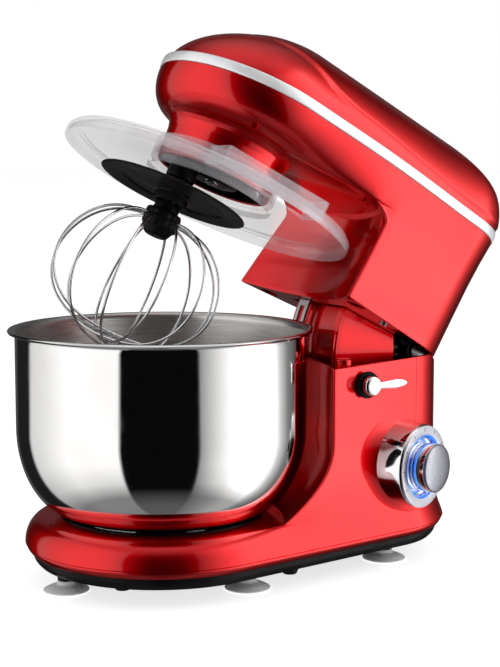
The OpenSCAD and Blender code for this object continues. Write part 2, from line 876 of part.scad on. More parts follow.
module tool_pin() {
  color("silver") raised() on_tool_axis() translate([0, 8.4, pin_z]) rotate([90, 0, 0])
    cylinder(r = 1.5, h = 16.8);
}

// Splash disc on the tool shaft, stepped towards its hub
disc_r = 58;

module splash_disc() {
  color([0.05, 0.05, 0.05]) raised() on_tool_axis() rotate_extrude() polygon([
    [5, 178], [12, 178], [12, 181], [40, 181.6], [41, 180.2], [disc_r - 1, 179.2], [disc_r, 180],
    [disc_r - 1, 181],
    [42, 182.4], [41, 184], [14, 184.6], [14, 190], [5, 190]
  ]);
}

// ---------------------------------------------------------------- whisk

hub_top = 172;
hub_low = 150;

module whisk_hub() {
  color([0.05, 0.05, 0.05]) raised() on_tool_axis() difference() {
    union() {
      translate([0, 0, hub_low + 2]) cylinder(r = 12.2, h = 14);
      translate([0, 0, hub_top - 6]) cylinder(r = 9.5, h = 6);
      translate([0, 0, hub_low - 4]) cylinder(r1 = 9, r2 = 12, h = 6);
      for (i = [0 : 2 * whisk_loops - 1]) rotate([0, 0, i * 180 / whisk_loops])
        translate([12, 0, hub_low + 3]) cylinder(r = 2.4, h = 11);
    }
    translate([0, 0, hub_low - 1.5]) cylinder(r = 5.06, h = 40);
    translate([-1.8, -8.9, pin_z - 6.8]) cube([3.6, 17.8, 9]);
    translate([0, 0, pin_z - 1.8]) cylinder(r = 8.9, h = 4);
  }
}

// Loop k of the whisk as points in its own upright plane, from hub to hub round the bottom
function loop_path(k) =
  let (low = whisk_low_z + (wire_d + 0.3) * k, high = hub_low + 9, root = 10.4, n = 32)
  [for (i = [0 : n])
    let (
      a = -180 + 360 * i / n,
      up = (1 - cos(a)) / 2,
      waist = a == 0 ? 0 : root * max(0, -cos(a)) * sign(a)
    )
    [waist + (whisk_r - abs(waist)) * pow(abs(sin(a)), 0.85) * sign(a), 0, lerp(low, high, pow(up, 1.1))]
  ];

module whisk_wires() {
  color("silver") raised() on_tool_axis() for (k = [0 : whisk_loops - 1])
    rotate([0, 0, k * 180 / whisk_loops + 7]) sweep_wire(loop_path(k), wire_d / 2, [0, 1, 0], 6);
}

// ---------------------------------------------------------------- splash guard

// Clear guard: ribbed rim, shallow cone, collar round the neck and a feed chute
module splash_guard() {
  color([0.9, 0.85, 0.88, 0.4]) raised() difference() {
    union() {
      rotate_extrude() polygon([
        [48.2, 205], [104, 200.2], [106, 202], [110, 202], [115.6, 198.5], [115.6, 192.4],
        [113.6, 192.4], [113.6, 197], [109.5, 199.6], [106.5, 199.6], [104, 197.8], [50.6, 202.4],
        [50.6, 198], [48.2, 198]
      ]);
      tube(50.4, 48.2, 203, 221);
      difference() {
        translate([-42, -90, 199]) cube([92, 34, 15]);
        translate([-50, -60.2, 190]) cube([110, 20, 40]);
      }
    }
    translate([-40, -88, 190]) cube([88, 26, 40]);
    translate([0, 0, 180]) cylinder(r = 48.2, h = 60);
  }
}

stand_housing();
column_rear_cover();
base_lower_rim();
bottom_plate();
suction_cups();
cup_stems();
foot_stubs();
bottom_screws();
bowl_seat();
hinge_shroud();
column_pegs();
hinge_frame();
hinge_pin();
dial_bezel();
dial_face();
led_ring();
speed_switch();
control_board();
inlet_gland();
lever_bush();
knob_sleeve();
knob_cap();
knob_shaft();
release_lever();
latch_shaft();
latch_nose();
latch_spring();
mixing_bowl();
bowl_foot_ring();
head_top_cover();
trim_strip();
head_lower_housing();
neck_collar();
leg_bottom_cover();
lock_strap();
head_bracket();
gearbox_housing();
ring_gear();
output_bearings();
motor_stator();
motor_end_plates();
motor_bearings();
carbon_brushes();
head_screws();
motor_shaft();
drive_worm();
armature();
commutator();
cooling_fan();
output_shaft();
worm_wheel();
planet_carrier();
carrier_screw();
tool_shaft();
planet_pinion();
tool_pin();
splash_disc();
whisk_hub();
whisk_wires();
splash_guard();
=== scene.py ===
"""Looks of a tilt-head stand mixer: lacquered casings, steel bowl and whisk, clear guard, lit dial.

Sizes are millimetres in the part's own frame until add() turns them into metres.
Head pieces are drawn with the head closed and placed by HEAD, which turns them up about the hinge.
"""
import json
import math

import bmesh
import bpy
from mathutils import Matrix, Vector


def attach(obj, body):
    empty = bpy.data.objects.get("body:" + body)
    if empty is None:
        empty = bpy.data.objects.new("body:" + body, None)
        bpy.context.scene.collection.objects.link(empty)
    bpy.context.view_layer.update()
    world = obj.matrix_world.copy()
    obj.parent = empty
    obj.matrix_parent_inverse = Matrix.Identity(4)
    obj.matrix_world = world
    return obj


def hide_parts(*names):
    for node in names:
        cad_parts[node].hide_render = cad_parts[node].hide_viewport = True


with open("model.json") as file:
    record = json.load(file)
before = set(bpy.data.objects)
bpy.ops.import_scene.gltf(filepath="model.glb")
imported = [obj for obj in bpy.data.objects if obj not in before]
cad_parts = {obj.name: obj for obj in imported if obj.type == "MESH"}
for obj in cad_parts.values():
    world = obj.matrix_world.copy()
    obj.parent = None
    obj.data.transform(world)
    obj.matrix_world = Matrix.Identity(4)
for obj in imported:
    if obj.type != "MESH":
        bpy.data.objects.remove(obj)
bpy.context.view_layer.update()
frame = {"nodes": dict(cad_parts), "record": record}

# ---------------- sizes, millimetres

MM = 0.001
WALL = 3.0

# Stand: split between column and head, seam and rim of the base, bottom plate, deck under the bowl
SPLIT_Z, SEAM_Z, RIM_Z, PLATE_Z, DECK_Z, FLARE_Z = 162.0, 31.0, 24.0, 15.0, 51.0, 107.0
BASE_FRONT_R, BASE_TAIL_R, BASE_TAIL_X, BASE_CORNER_X = 104.0, 78.0, 169.0, 50
# Column, each at its top and where it meets the deck
COLUMN_CORNER_X, COLUMN_CORNER_Y, COLUMN_HOLLOW_X = (101, 52), (82, 89), (120, 84)
COLUMN_TAIL_X, COLUMN_TAIL_R, COLUMN_EDGE = (190, 171), (52.7, 70), (4.5, 3.0)
CUP_PLACES = [(-80, 0), (39, -62), (39, 62), (176, -43), (176, 43)]
STUB_PLACES = [(-52, -38), (-52, 38), (76, -62), (76, 62)]
SEAT_R = 77.4

# Hinge, its shroud on the column and the lock strap
HINGE_X, SHROUD_R, SHROUD_HALF = 220.0, 87, 35
STRAP_R, STRAP_Y = 94.0, 12.0
PEG_X, PEG_Y = 122, 64

# Head, closed
STRIP_Z, STRIP_H, RIDGE_Z, PAN_Z = 270.0, 8.0, 330.0, 240.0
HEAD_FRONT_R, HEAD_FRONT_X, HEAD_CORNER_X = 77.0, 7, 106
HEAD_TAIL_R, HEAD_TAIL_X, LEG_TAIL_X = 50.0, 204.0, 199.0

BOWL_R, BOWL_RIM_R, BOWL_RIM_Z, FOOT_R = 109.5, 115.0, 192.0, 70.0
BOWL_FLAT_R, BOWL_FLOOR_Z, BOWL_CURVE_Z, SHEET = 66, 51.0, 118.0, 1.2
DIAL_R, DIAL_DEPTH, DIAL_FLARE, DIAL_HOLE_R = 33.0, 22.0, 3.0, 25.1
WHISK_R, WHISK_LOOPS, WHISK_LOW_Z, WIRE_R = 64.0, 6, 56.0, 1.0
HUB_LOW, HUB_TOP, PIN_Z = 150.0, 172.0, 162


def spin(degrees, axis):
    return Matrix.Rotation(math.radians(degrees), 4, axis)


def shift(x, y, z):
    return Matrix.Translation((x, y, z))


# Frames of the groups of pieces: the head tilts about the hinge, and the tool circles the bowl's axis
TILT, TOOL_TURN, ORBIT_R = 27, 195, 30
TABLE = Matrix.Identity(4)
HEAD = shift(HINGE_X, 0, SPLIT_Z) @ spin(TILT, "Y") @ shift(-HINGE_X, 0, -SPLIT_Z)
TURN = spin(TOOL_TURN, "Z")
ORBIT = TURN @ shift(ORBIT_R, 0, 0)
TOOL = HEAD @ ORBIT
DIAL = shift(184, -52.5, 78) @ spin(22, "Z") @ spin(90, "X")
LEVER = shift(137, -73, 147) @ spin(90, "X")


# ---------------- materials

class Look:
    """A procedural material: one Principled shader and the texture nodes that feed it."""

    def __init__(self, name, color, metallic=0.0, roughness=0.4, **sockets):
        self.material = bpy.data.materials.new(name)
        self.material.use_nodes = True
        self.tree = self.material.node_tree
        self.shader = self.tree.nodes["Principled BSDF"]
        self.set("Base Color", (*color, 1.0))
        self.set("Metallic", metallic)
        self.set("Roughness", roughness)
        for key, value in sockets.items():
            self.set(key.replace("_", " "), value)
        self.color = color

    def set(self, socket, value):
        self.shader.inputs[socket].default_value = value

    def node(self, kind, **values):
        made = self.tree.nodes.new(kind)
        for key, value in values.items():
            made.inputs[key].default_value = value
        return made

    def link(self, a, b):
        self.tree.links.new(a, b)

    def place(self, stretch=(1, 1, 1), turn=(0, 0, 0)):
        """Object coordinates, stretched and turned."""
        coordinates = self.tree.nodes.new("ShaderNodeTexCoord")
        mapping = self.node("ShaderNodeMapping", Scale=stretch, Rotation=turn)
        self.link(coordinates.outputs["Object"], mapping.inputs["Vector"])
        return mapping.outputs["Vector"]

    def noise(self, scale, detail=3.0, **where):
        made = self.node("ShaderNodeTexNoise", Scale=scale, Detail=detail)
        self.link(self.place(**where), made.inputs["Vector"])
        return made.outputs["Fac"]

    def spread(self, fac, low, high, a=0.35, b=0.65):
        """Maps the middle of a noise, a to b, onto low to high."""
        made = self.node("ShaderNodeMapRange")
        for key, value in zip(("From Min", "From Max", "To Min", "To Max"), (a, b, low, high)):
            made.inputs[key].default_value = value
        self.link(fac, made.inputs["Value"])
        return made.outputs["Result"]

    def vary_color(self, fac, other, a=0.35, b=0.65):
        ramp = self.tree.nodes.new("ShaderNodeValToRGB")
        ramp.color_ramp.elements[0].position, ramp.color_ramp.elements[1].position = a, b
        ramp.color_ramp.elements[0].color = (*self.color, 1.0)
        ramp.color_ramp.elements[1].color = (*other, 1.0)
        self.link(fac, ramp.inputs["Fac"])
        self.link(ramp.outputs["Color"], self.shader.inputs["Base Color"])

    def vary_roughness(self, fac, low, high):
        self.link(self.spread(fac, low, high), self.shader.inputs["Roughness"])

    def bump(self, fac, height, distance=0.0005):
        made = self.node("ShaderNodeBump", Strength=height, Distance=distance)
        self.link(fac, made.inputs["Height"])
        self.link(made.outputs["Normal"], self.shader.inputs["Normal"])


def lacquer():
    """Metallic candy red: fine flakes under a smooth clear coat."""
    look = Look("red_lacquer", (0.70, 0.002, 0.005), 1.0, 0.36, Coat_Weight=0.90,
                Coat_Roughness=0.06, Coat_IOR=1.45, Specular_IOR_Level=0.2,
                Specular_Tint=(1.0, 0.10, 0.12, 1.0))
    flakes = look.noise(1900.0, 2.0)
    look.vary_color(flakes, (0.84, 0.003, 0.008), 0.3, 0.75)
    look.vary_roughness(look.noise(26.0, 2.0), 0.33, 0.39)
    look.bump(look.noise(900.0, 1.0), 0.03, 0.0002)
    return look.material


def moulded(name, color, roughness, grain=420.0, height=0.10, **sockets):
    """Moulded plastic or rubber: fine grain and slightly uneven gloss."""
    look = Look(name, color, 0.0, roughness, **sockets)
    look.vary_color(look.noise(35.0, 4.0), tuple(min(1.0, c * 1.25 + 0.004) for c in color))
    look.vary_roughness(look.noise(60.0, 3.0), roughness - 0.05, roughness + 0.08)
    look.bump(look.noise(grain, 2.0), height, 0.0003)
    return look.material


def plated(name, color, roughness):
    """Polished or plated metal with faint wipe marks."""
    look = Look(name, color, 1.0, roughness)
    look.vary_color(look.noise(22.0, 3.0), tuple(c * 0.94 for c in color))
    look.vary_roughness(look.noise(45.0, 5.0), roughness * 0.6, roughness * 1.6 + 0.01)
    return look.material


def brushed(name, color, roughness, stretch, turn=(0, 0, 0), height=0.12):
    """Metal with fine parallel brush lines; stretch is large across the lines."""
    look = Look(name, color, 1.0, roughness)
    lines = look.noise(1.0, 6.0, stretch=stretch, turn=turn)
    look.vary_color(lines, tuple(c * 0.80 for c in color), 0.30, 0.70)
    look.vary_roughness(lines, roughness - 0.08, roughness + 0.12)
    look.bump(lines, height, 0.0001)
    return look.material


def clear_plastic():
    """Clear polycarbonate, slightly grey and hazy, with bright rims."""
    look = Look("clear_plastic", (0.80, 0.78, 0.82), 0.0, 0.06, IOR=1.46, Alpha=0.27,
                Transmission_Weight=0.35, Specular_IOR_Level=0.9)
    look.vary_roughness(look.noise(40.0, 3.0), 0.03, 0.10)
    look.bump(look.noise(70.0, 1.0), 0.04, 0.0004)
    return look.material


def blue_light():
    """Lit plastic, a little brighter in patches."""
    look = Look("blue_light", (0.05, 0.25, 1.0), 0.0, 0.3)
    ramp = look.tree.nodes.new("ShaderNodeValToRGB")
    ramp.color_ramp.elements[0].position, ramp.color_ramp.elements[1].position = 0.35, 0.62
    ramp.color_ramp.elements[0].color = (0.004, 0.07, 1.0, 1.0)
    ramp.color_ramp.elements[1].color = (0.03, 0.36, 1.0, 1.0)
    look.link(look.noise(75.0, 1.0), ramp.inputs["Fac"])
    look.link(ramp.outputs["Color"], look.shader.inputs["Emission Color"])
    look.set("Emission Strength", 1.0)
    return look.material


RED = lacquer()
BLACK = moulded("black_plastic", (0.003, 0.003, 0.0035), 0.30, Specular_IOR_Level=0.08)
GREY_BLACK = moulded("satin_black", (0.006, 0.0055, 0.005), 0.28, height=0.05, Specular_IOR_Level=0.06)
RUBBER = moulded("milky_rubber", (0.86, 0.86, 0.85), 0.33, height=0.05, Subsurface_Weight=0.25,
                 Subsurface_Radius=(0.004, 0.004, 0.004))
CHROME = plated("chrome", (0.86, 0.86, 0.88), 0.04)
MIRROR = plated("polished_bowl", (0.90, 0.89, 0.88), 0.045)
WIRE = plated("drawn_wire", (0.74, 0.74, 0.75), 0.13)
# Turned steel is darker than bare steel: painted shade, so the steel parts in the shaded hinge and casing
# stay dark.
STEEL = plated("turned_steel", (0.36, 0.36, 0.38), 0.28)
STRAP = brushed("strap_steel", (0.72, 0.71, 0.70), 0.30, (300, 40, 300))
STRIP = moulded("trim_silver", (0.86, 0.87, 0.90), 0.34, height=0.02, Metallic=0.45)
INSIDE = brushed("brushed_bowl", (0.66, 0.64, 0.62), 0.30, (18, 18, 1500), height=0.25)
SATIN = brushed("satin_knob", (0.43, 0.43, 0.48), 0.36, (700, 700, 700), height=0.03)
FACE = brushed("dial_face", (0.74, 0.73, 0.80), 0.34, (1200, 1200, 1200), height=0.05)
CLEAR = clear_plastic()
LIGHT = blue_light()
INK = moulded("tick_ink", (0.02, 0.02, 0.025), 0.5)

SLOT_LOOKS = {
    "red_casing": RED,
    "black_plastic": BLACK,
    "foot_rubber": RUBBER,
    "chrome_trim": CHROME,
    "satin_trim": SATIN,
    "bowl_steel": MIRROR,
    "wire_steel": WIRE,
    "machine_steel": STEEL,
    "clear_plastic": CLEAR,
    "blue_light": LIGHT,
    # The hinge brackets' pressed steel is painted near black: painted shade for the shaded hinge interior.
    "pressed_steel": brushed("pressed_steel_painted_shade", (0.06, 0.06, 0.065), 0.42, (40, 400, 400)),
    "cast_alloy": brushed("cast_alloy", (0.55, 0.55, 0.56), 0.50, (150, 150, 150), height=0.3),
    "gear_nylon": moulded("gear_nylon", (0.80, 0.77, 0.66), 0.42),
    "copper_winding": brushed("copper_winding", (0.72, 0.33, 0.14), 0.35, (900, 60, 900)),
    "motor_iron": brushed("laminated_iron", (0.14, 0.14, 0.15), 0.45, (1500, 30, 30)),
    "carbon": moulded("carbon", (0.03, 0.03, 0.03), 0.55),
    "board_green": moulded("board_green", (0.02, 0.19, 0.08), 0.35),
}


# ---------------- mesh helpers

def lerp(a, b, t):
    return a + (b - a) * t


def unit(degrees):
    """Cosine and sine of an angle in degrees."""
    return math.cos(math.radians(degrees)), math.sin(math.radians(degrees))


def ease(t):
    """Smooth step from 0 to 1."""
    t = min(1.0, max(0.0, t))
    return t * t * (3 - 2 * t)


def span(a, b, n):
    """n + 1 even steps from a to b."""
    return [lerp(a, b, i / n) for i in range(n + 1)]


def along(table, x):
    """Reads a short listed curve, straight between its points."""
    if x <= table[0][0]:
        return table[0][1]
    for (xa, ya), (xb, yb) in zip(table, table[1:]):
        if x <= xb:
            return lerp(ya, yb, (x - xa) / (xb - xa))
    return table[-1][1]


def build_mesh(name, parts, place=TABLE):
    """Smooth mesh in metres of (points, faces[, material index]) parts in millimetres."""
    mesh = bpy.data.meshes.new(name)
    work = bmesh.new()
    for part in parts:
        index = part[2] if len(part) > 2 else 0
        made = [work.verts.new(place @ Vector(p) * MM) for p in part[0]]
        for f in part[1]:
            corners = [made[i] for i in f]
            if len(set(corners)) > 2:
                work.faces.new(corners).material_index = index
    bmesh.ops.remove_doubles(work, verts=work.verts, dist=2e-6)
    bmesh.ops.dissolve_degenerate(work, edges=work.edges, dist=1e-6)
    bmesh.ops.recalc_face_normals(work, faces=work.faces)
    for face in work.faces:
        face.smooth = True
    work.to_mesh(mesh)
    work.free()
    return mesh


def add(name, parts, body, nodes, slot, place=TABLE, sharp=32.0, look=None):
    """One piece that rides on a body, smooth except at edges sharper than an angle in degrees.

    It stands in for the CAD nodes named, and has its slot's material unless given others.
    """
    mesh = build_mesh(name, parts, place)
    for material in look if isinstance(look, list) else [look or SLOT_LOOKS[slot]]:
        mesh.materials.append(material)
    mesh.set_sharp_from_angle(angle=math.radians(sharp))
    piece = bpy.data.objects.new(name, mesh)
    bpy.context.scene.collection.objects.link(piece)
    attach(piece, body)
    if nodes:
        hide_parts(*nodes)
    return piece


def moved(part, place):
    """A part turned and shifted by a matrix."""
    return ([tuple(place @ Vector(p)) for p in part[0]], *part[1:])


def shifted(part, x=0.0, y=0.0, z=0.0):
    return moved(part, shift(x, y, z))


def skin(rings, looped=False, index=0):
    """Skin over rings of equal count; capped at both ends unless looped."""
    n, m = len(rings[0]), len(rings)
    points = [p for ring in rings for p in ring]
    faces = []
    for i in range(m if looped else m - 1):
        k = (i + 1) % m
        for j in range(n):
            l = (j + 1) % n
            faces.append((i * n + j, i * n + l, k * n + l, k * n + j))
    if not looped:
        faces.append(tuple(range(n)))
        faces.append(tuple((m - 1) * n + j for j in reversed(range(n))))
    return points, faces, index


def lathe(profile, n=96, index=0):
    """A closed profile of (radius, height) turned about Z."""
    rings = []
    for i in range(n):
        c, s = math.cos(2 * math.pi * i / n), math.sin(2 * math.pi * i / n)
        rings.append([(r * c, r * s, z) for r, z in profile])
    return skin(rings, True, index)


def fillet(profile, radius, steps=4):
    """Rounds the corners of a closed profile, except those on the axis."""
    out, n = [], len(profile)
    for i, p in enumerate(profile):
        a, b = profile[i - 1], profile[(i + 1) % n]
        da, db = math.dist(p, a), math.dist(p, b)
        r = min(radius, 0.45 * da, 0.45 * db)
        if p[0] < 1e-6 or r < 0.02:
            out.append(p)
            continue
        start = [lerp(p[k], a[k], r / da) for k in (0, 1)]
        end = [lerp(p[k], b[k], r / db) for k in (0, 1)]
        for t in span(0, 1, steps):
            out.append(tuple((1 - t) ** 2 * start[k] + 2 * t * (1 - t) * p[k] + t * t * end[k]
                             for k in (0, 1)))
    return out


def turned(profile, radius=0.5, n=96, steps=4, index=0):
    return lathe(fillet(profile, radius, steps), n, index)


def ring_of(r_in, r_out, z0, z1, radius=0.4, n=96, index=0):
    return turned([(r_in, z0), (r_out, z0), (r_out, z1), (r_in, z1)], radius, n, 4, index)


def slab(outline, z0, z1, edge=0.6, steps=3, index=0):
    """An upright prism over a closed plan outline, with rounded upper and lower edges."""
    def inset(d):
        ring = []
        for i, p in enumerate(outline):
            a, b = outline[i - 1], outline[(i + 1) % len(outline)]
            along_edge = Vector((b[0] - a[0], b[1] - a[1]))
            if along_edge.length > 1e-9:
                along_edge.normalize()
            ring.append((p[0] - along_edge.y * d, p[1] + along_edge.x * d))
        return ring
    rings = [[(x, y, z0 + edge * (1 - math.cos(t))) for x, y in inset(edge * (1 - math.sin(t)))]
             for t in span(0, math.pi / 2, steps)]
    rings += [[(x, y, z1 - edge * (1 - math.cos(t))) for x, y in inset(edge * (1 - math.sin(t)))]
              for t in reversed(span(0, math.pi / 2, steps))]
    return skin(rings, False, index)


def rounded_box(x, y, corner, n=5):
    """Plan outline of a box with rounded corners, counterclockwise."""
    out = []
    for cx, cy, start in ((x, y, 0), (-x, y, 90), (-x, -y, 180), (x, -y, 270)):
        for c, s in (unit(a) for a in span(start, start + 90, n)):
            out.append((cx - math.copysign(corner, cx) + corner * c,
                        cy - math.copysign(corner, cy) + corner * s))
    return out


def wire(path, r, sides=12):
    """Round wire of radius r along a list of points."""
    rings, normal = [], None
    for i, point in enumerate(path):
        before, after = Vector(path[max(0, i - 1)]), Vector(path[min(len(path) - 1, i + 1)])
        t = (after - before).normalized()
        if normal is None:
            normal = t.orthogonal().normalized()
        normal = (normal - t * normal.dot(t)).normalized()
        side = t.cross(normal)
        rings.append([tuple(Vector(point) + r * (math.cos(2 * math.pi * k / sides) * normal
                                                 + math.sin(2 * math.pi * k / sides) * side))
                      for k in range(sides)])
    return skin(rings)


def cut(piece, tools):
    """Cuts closed tool parts out of a piece, one after another."""
    for part in tools:
        mesh = build_mesh("cutter", [part])
        cutter = bpy.data.objects.new("cutter", mesh)
        bpy.context.scene.collection.objects.link(cutter)
        bpy.context.view_layer.update()
        modifier = piece.modifiers.new("cut", "BOOLEAN")
        modifier.object, modifier.operation, modifier.solver = cutter, "DIFFERENCE", "EXACT"
        graph = bpy.context.evaluated_depsgraph_get()
        result = bpy.data.meshes.new_from_object(piece.evaluated_get(graph))
        piece.modifiers.clear()
        piece.data = result
        bpy.data.objects.remove(cutter)
        bpy.data.meshes.remove(mesh)
    for polygon in piece.data.polygons:
        polygon.use_smooth = True
    piece.data.set_sharp_from_angle(angle=math.radians(32))
    return piece


def box_part(x0, x1, y0, y1, z0, z1):
    ring = [(x0, y0), (x1, y0), (x1, y1), (x0, y1)]
    return skin([[(x, y, z) for x, y in ring] for z in (z0, z1)])


def rod(r, z0, z1, n=64):
    return lathe([(0, z0), (r, z0), (r, z1), (0, z1)], n)


# ---------------- casing outlines

SIDE_N, TAIL_N, CORNER_N, FRONT_N = 26, 40, 8, 72


def resampled(path, n, trim):
    """n + 1 even points of a polyline without a length trim at both ends."""
    lengths = [0.0]
    for a, b in zip(path, path[1:]):
        lengths.append(lengths[-1] + math.dist(a, b))
    out, k = [], 0
    for s in span(trim, lengths[-1] - trim, n):
        while k < len(path) - 2 and lengths[k + 1] < s:
            k += 1
        t = (s - lengths[k]) / max(1e-9, lengths[k + 1] - lengths[k])
        out.append((lerp(path[k][0], path[k + 1][0], t), lerp(path[k][1], path[k + 1][1], t)))
    return out


def curve_corner(a, p, b):
    return [tuple((1 - t) ** 2 * a[k] + 2 * t * (1 - t) * p[k] + t * t * b[k] for k in (0, 1))
            for t in span(0, 1, CORNER_N)[1:-1]]


def outline(z, xf, yf, cx, r, front, corner):
    """Plan outline at height z: near side, tail arc, far side, rounded corners and front path."""
    reach = math.hypot(cx - xf, yf)
    ta = math.atan2(yf, cx - xf) - math.pi + math.acos(r / reach)
    tx, ty = cx + r * math.cos(ta), r * math.sin(ta)
    near = (xf, -yf)
    length = math.dist(near, (tx, ty))
    start = (lerp(xf, tx, corner / length), lerp(-yf, ty, corner / length))
    side = [(lerp(start[0], tx, t), lerp(start[1], ty, t)) for t in span(0, 1, SIDE_N)[:-1]]
    tail = [(cx + r * math.cos(a), r * math.sin(a)) for a in span(ta, -ta, TAIL_N)]
    far = [(x, -y) for x, y in reversed(side)]
    path = resampled(front, FRONT_N, corner)
    ring = (side + tail + far + curve_corner(far[-1], (xf, yf), path[0]) + path
            + curve_corner(path[-1], near, side[0]))
    return [(x, y, z) for x, y in ring]


def hollow_front(xf, yf, xc):
    """Front path that curves back from the corners (xf, yf) to xc in the middle."""
    return [(xf + (xc - xf) * (1 - s * s), yf * s) for s in span(1, -1, 60)]


def round_front(c1, r1, xf, yf):
    """Front path that leaves the corners along tangents of an arc about (c1, 0)."""
    reach = math.hypot(xf - c1, yf)
    a0 = math.atan2(yf, xf - c1) + math.acos(min(1.0, r1 / reach))
    arc = [(c1 + r1 * math.cos(a), r1 * math.sin(a)) for a in span(a0, 2 * math.pi - a0, 120)]
    return [(xf, yf)] + arc + [(xf, -yf)]


def side_y(c1, r1, c2, r2, x):
    """Half width at x of the tangent lines of two circles on the X axis."""
    s = (r1 - r2) / (c2 - c1)
    return (r1 - (x - c1) * s) / math.sqrt(1 - s * s)


def teardrop(z, c1, r1, c2, r2, xf):
    """Plan outline round two circles on the X axis, with its front corners at xf."""
    yf = side_y(c1, r1, c2, r2, xf)
    return outline(z, xf, yf, c2, r2, round_front(c1, r1, xf, yf), 6.0)


# ---------------- stand

def column_ring(z, inset):
    """Column outline: straight above FLARE_Z and flared out below it."""
    f = 0.0 if z >= FLARE_Z else ((FLARE_Z - z) / (FLARE_Z - 50.0)) ** 2.2
    xf, yf = lerp(*COLUMN_CORNER_X, f) + inset, lerp(*COLUMN_CORNER_Y, f) - inset
    front = hollow_front(xf, yf, lerp(*COLUMN_HOLLOW_X, f) + inset)
    return outline(z, xf, yf, lerp(*COLUMN_TAIL_X, f), lerp(*COLUMN_TAIL_R, f) - inset, front,
                   lerp(*COLUMN_EDGE, f))


def pad_ring(z, grow, side_grow=None):
    """Base outline; grow is the offset round the bowl, side_grow the one beside the column."""
    side_grow = grow if side_grow is None else side_grow
    ring = teardrop(z, 0, BASE_FRONT_R, BASE_TAIL_X, BASE_TAIL_R, BASE_CORNER_X)
    out = []
    for i, (x, y, _) in enumerate(ring):
        g = lerp(grow, side_grow, ease((x - 5) / 70))
        a, b = ring[i - 1], ring[(i + 1) % len(ring)]
        t = Vector((b[0] - a[0], b[1] - a[1])).normalized()
        out.append((x + t.y * g, y - t.x * g, z))
    return out


def base_rings(inset):
    """Rings from the deck down over the crown of the base to the seam."""
    rings = []
    for t in span(90, 0, 14):
        a = math.radians(t)
        z = SEAM_Z + 0.15 + (DECK_Z - 0.9 - SEAM_Z) * math.sin(a)
        crown = -14 * (1 - math.cos(a)) - inset
        side = -8 * ((z - SEAM_Z) / (DECK_Z - SEAM_Z)) ** 1.15 - inset
        rings.append(pad_ring(z - inset * math.sin(a), crown, side))
    return rings


def blend_rings(a, b, n):
    """Rings between two others, without the two themselves."""
    return [[tuple(lerp(p[k], q[k], t) for k in range(3)) for p, q in zip(a, b)]
            for t in span(0, 1, n)[1:-1]]


def faired(rings, first, last, reach=6):
    """Rounds out the sides and tail between two rings; fades out reach points from the corners."""
    tail_end = SIDE_N + TAIL_N + 1
    out = [list(ring) for ring in rings]
    for i in range(tail_end + SIDE_N):
        share = 1.0
        if i < SIDE_N:
            share = ease(i / reach)
        elif i >= tail_end:
            share = ease((tail_end + SIDE_N - 1 - i) / reach)
        above, start, end, below = (rings[k][i] for k in (first - 1, first, last, last + 1))
        drop = end[2] - start[2]
        for k in range(first + 1, last):
            x, y, z = rings[k][i]
            t = (z - start[2]) / drop
            goal = []
            for c in (0, 1):
                leave = (start[c] - above[c]) / (start[2] - above[2]) * drop
                arrive = (below[c] - end[c]) / (below[2] - end[2]) * drop
                goal.append((2 * t ** 3 - 3 * t ** 2 + 1) * start[c] + (t ** 3 - 2 * t ** 2 + t) * leave
                            + (3 * t ** 2 - 2 * t ** 3) * end[c] + (t ** 3 - t ** 2) * arrive)
            out[k][i] = (lerp(x, goal[0], share), lerp(y, goal[1], share), z)
    return out


def ring_at(rings, z):
    """Index of the first ring that lies at or below height z."""
    return next(k for k, ring in enumerate(rings) if ring[0][2] <= z)


# Heights between which the column's side sweeps out into the base
COVE_TOP_Z, COVE_LOW_Z = 80, 41


def stand_shell():
    """Casing of base and column: down the outside, round the seam and up the inside."""
    column_z = [SPLIT_Z - 1.2, 150, 136, 120] + span(FLARE_Z, DECK_Z, 22)
    column = [column_ring(SPLIT_Z, 0.9), column_ring(SPLIT_Z - 0.35, 0.25)]
    column += [column_ring(z, 0) for z in column_z]
    base = base_rings(0)
    outside = column + blend_rings(column[-1], base[0], 8) + base
    outside = faired(outside, ring_at(outside, COVE_TOP_Z), ring_at(outside, COVE_LOW_Z))
    base_in = base_rings(WALL)
    inner_z = span(DECK_Z, FLARE_Z, 6) + [SPLIT_Z - 0.6]
    inside = [pad_ring(SEAM_Z + 0.15, -WALL)] + base_in[::-1]
    inside += [column_ring(z, WALL) for z in inner_z] + [column_ring(SPLIT_Z, WALL - 0.5)]
    return skin(outside + inside, True)


def rear_slope():
    """Space above the slope that clears the raised head."""
    tilted = shift(HINGE_X - 1.5, 0, SPLIT_Z - 0.2) @ spin(TILT + 0.5, "Y")
    return moved(box_part(0, 80, -100, 100, 0, 60), tilted)


# The rear cover is the part of the shell behind REAR_X and above REAR_Z
REAR_X, REAR_Z = 199, 62
shell = stand_shell()
housing = add("stand_casing", [shell], "stand", ["stand_housing"], "red_casing")
cut(housing, [rod(SEAT_R, 40, 60, 128), box_part(REAR_X, 299, -100, 100, REAR_Z, 182),
              moved(rod(DIAL_HOLE_R + 0.1, -20, 26, 96), DIAL)])

rear = add("column_back", [shell], "stand", ["column_rear_cover"], "red_casing")
inlet = moved(rod(7, -20, 40), shift(240, 0, 75) @ spin(90, "Y"))
cut(rear, [box_part(-150, REAR_X + 0.4, -120, 120, 0, 200), box_part(190, 300, -120, 120, 0, REAR_Z + 0.4),
           rear_slope(), inlet])

add("base_rim", [skin([pad_ring(SEAM_Z - 0.3, -1.4), pad_ring(SEAM_Z - 0.7, -0.9)]
                      + [pad_ring(z, lerp(-0.8, -4.6, ((SEAM_Z - 1 - z) / 6.0) ** 1.6))
                         for z in span(SEAM_Z - 1, RIM_Z + 0.3, 6)]
                      + [pad_ring(RIM_Z, -5.2), pad_ring(RIM_Z, -8), pad_ring(SEAM_Z - 0.3, -5)], True)],
    "stand", ["base_lower_rim"], "red_casing")

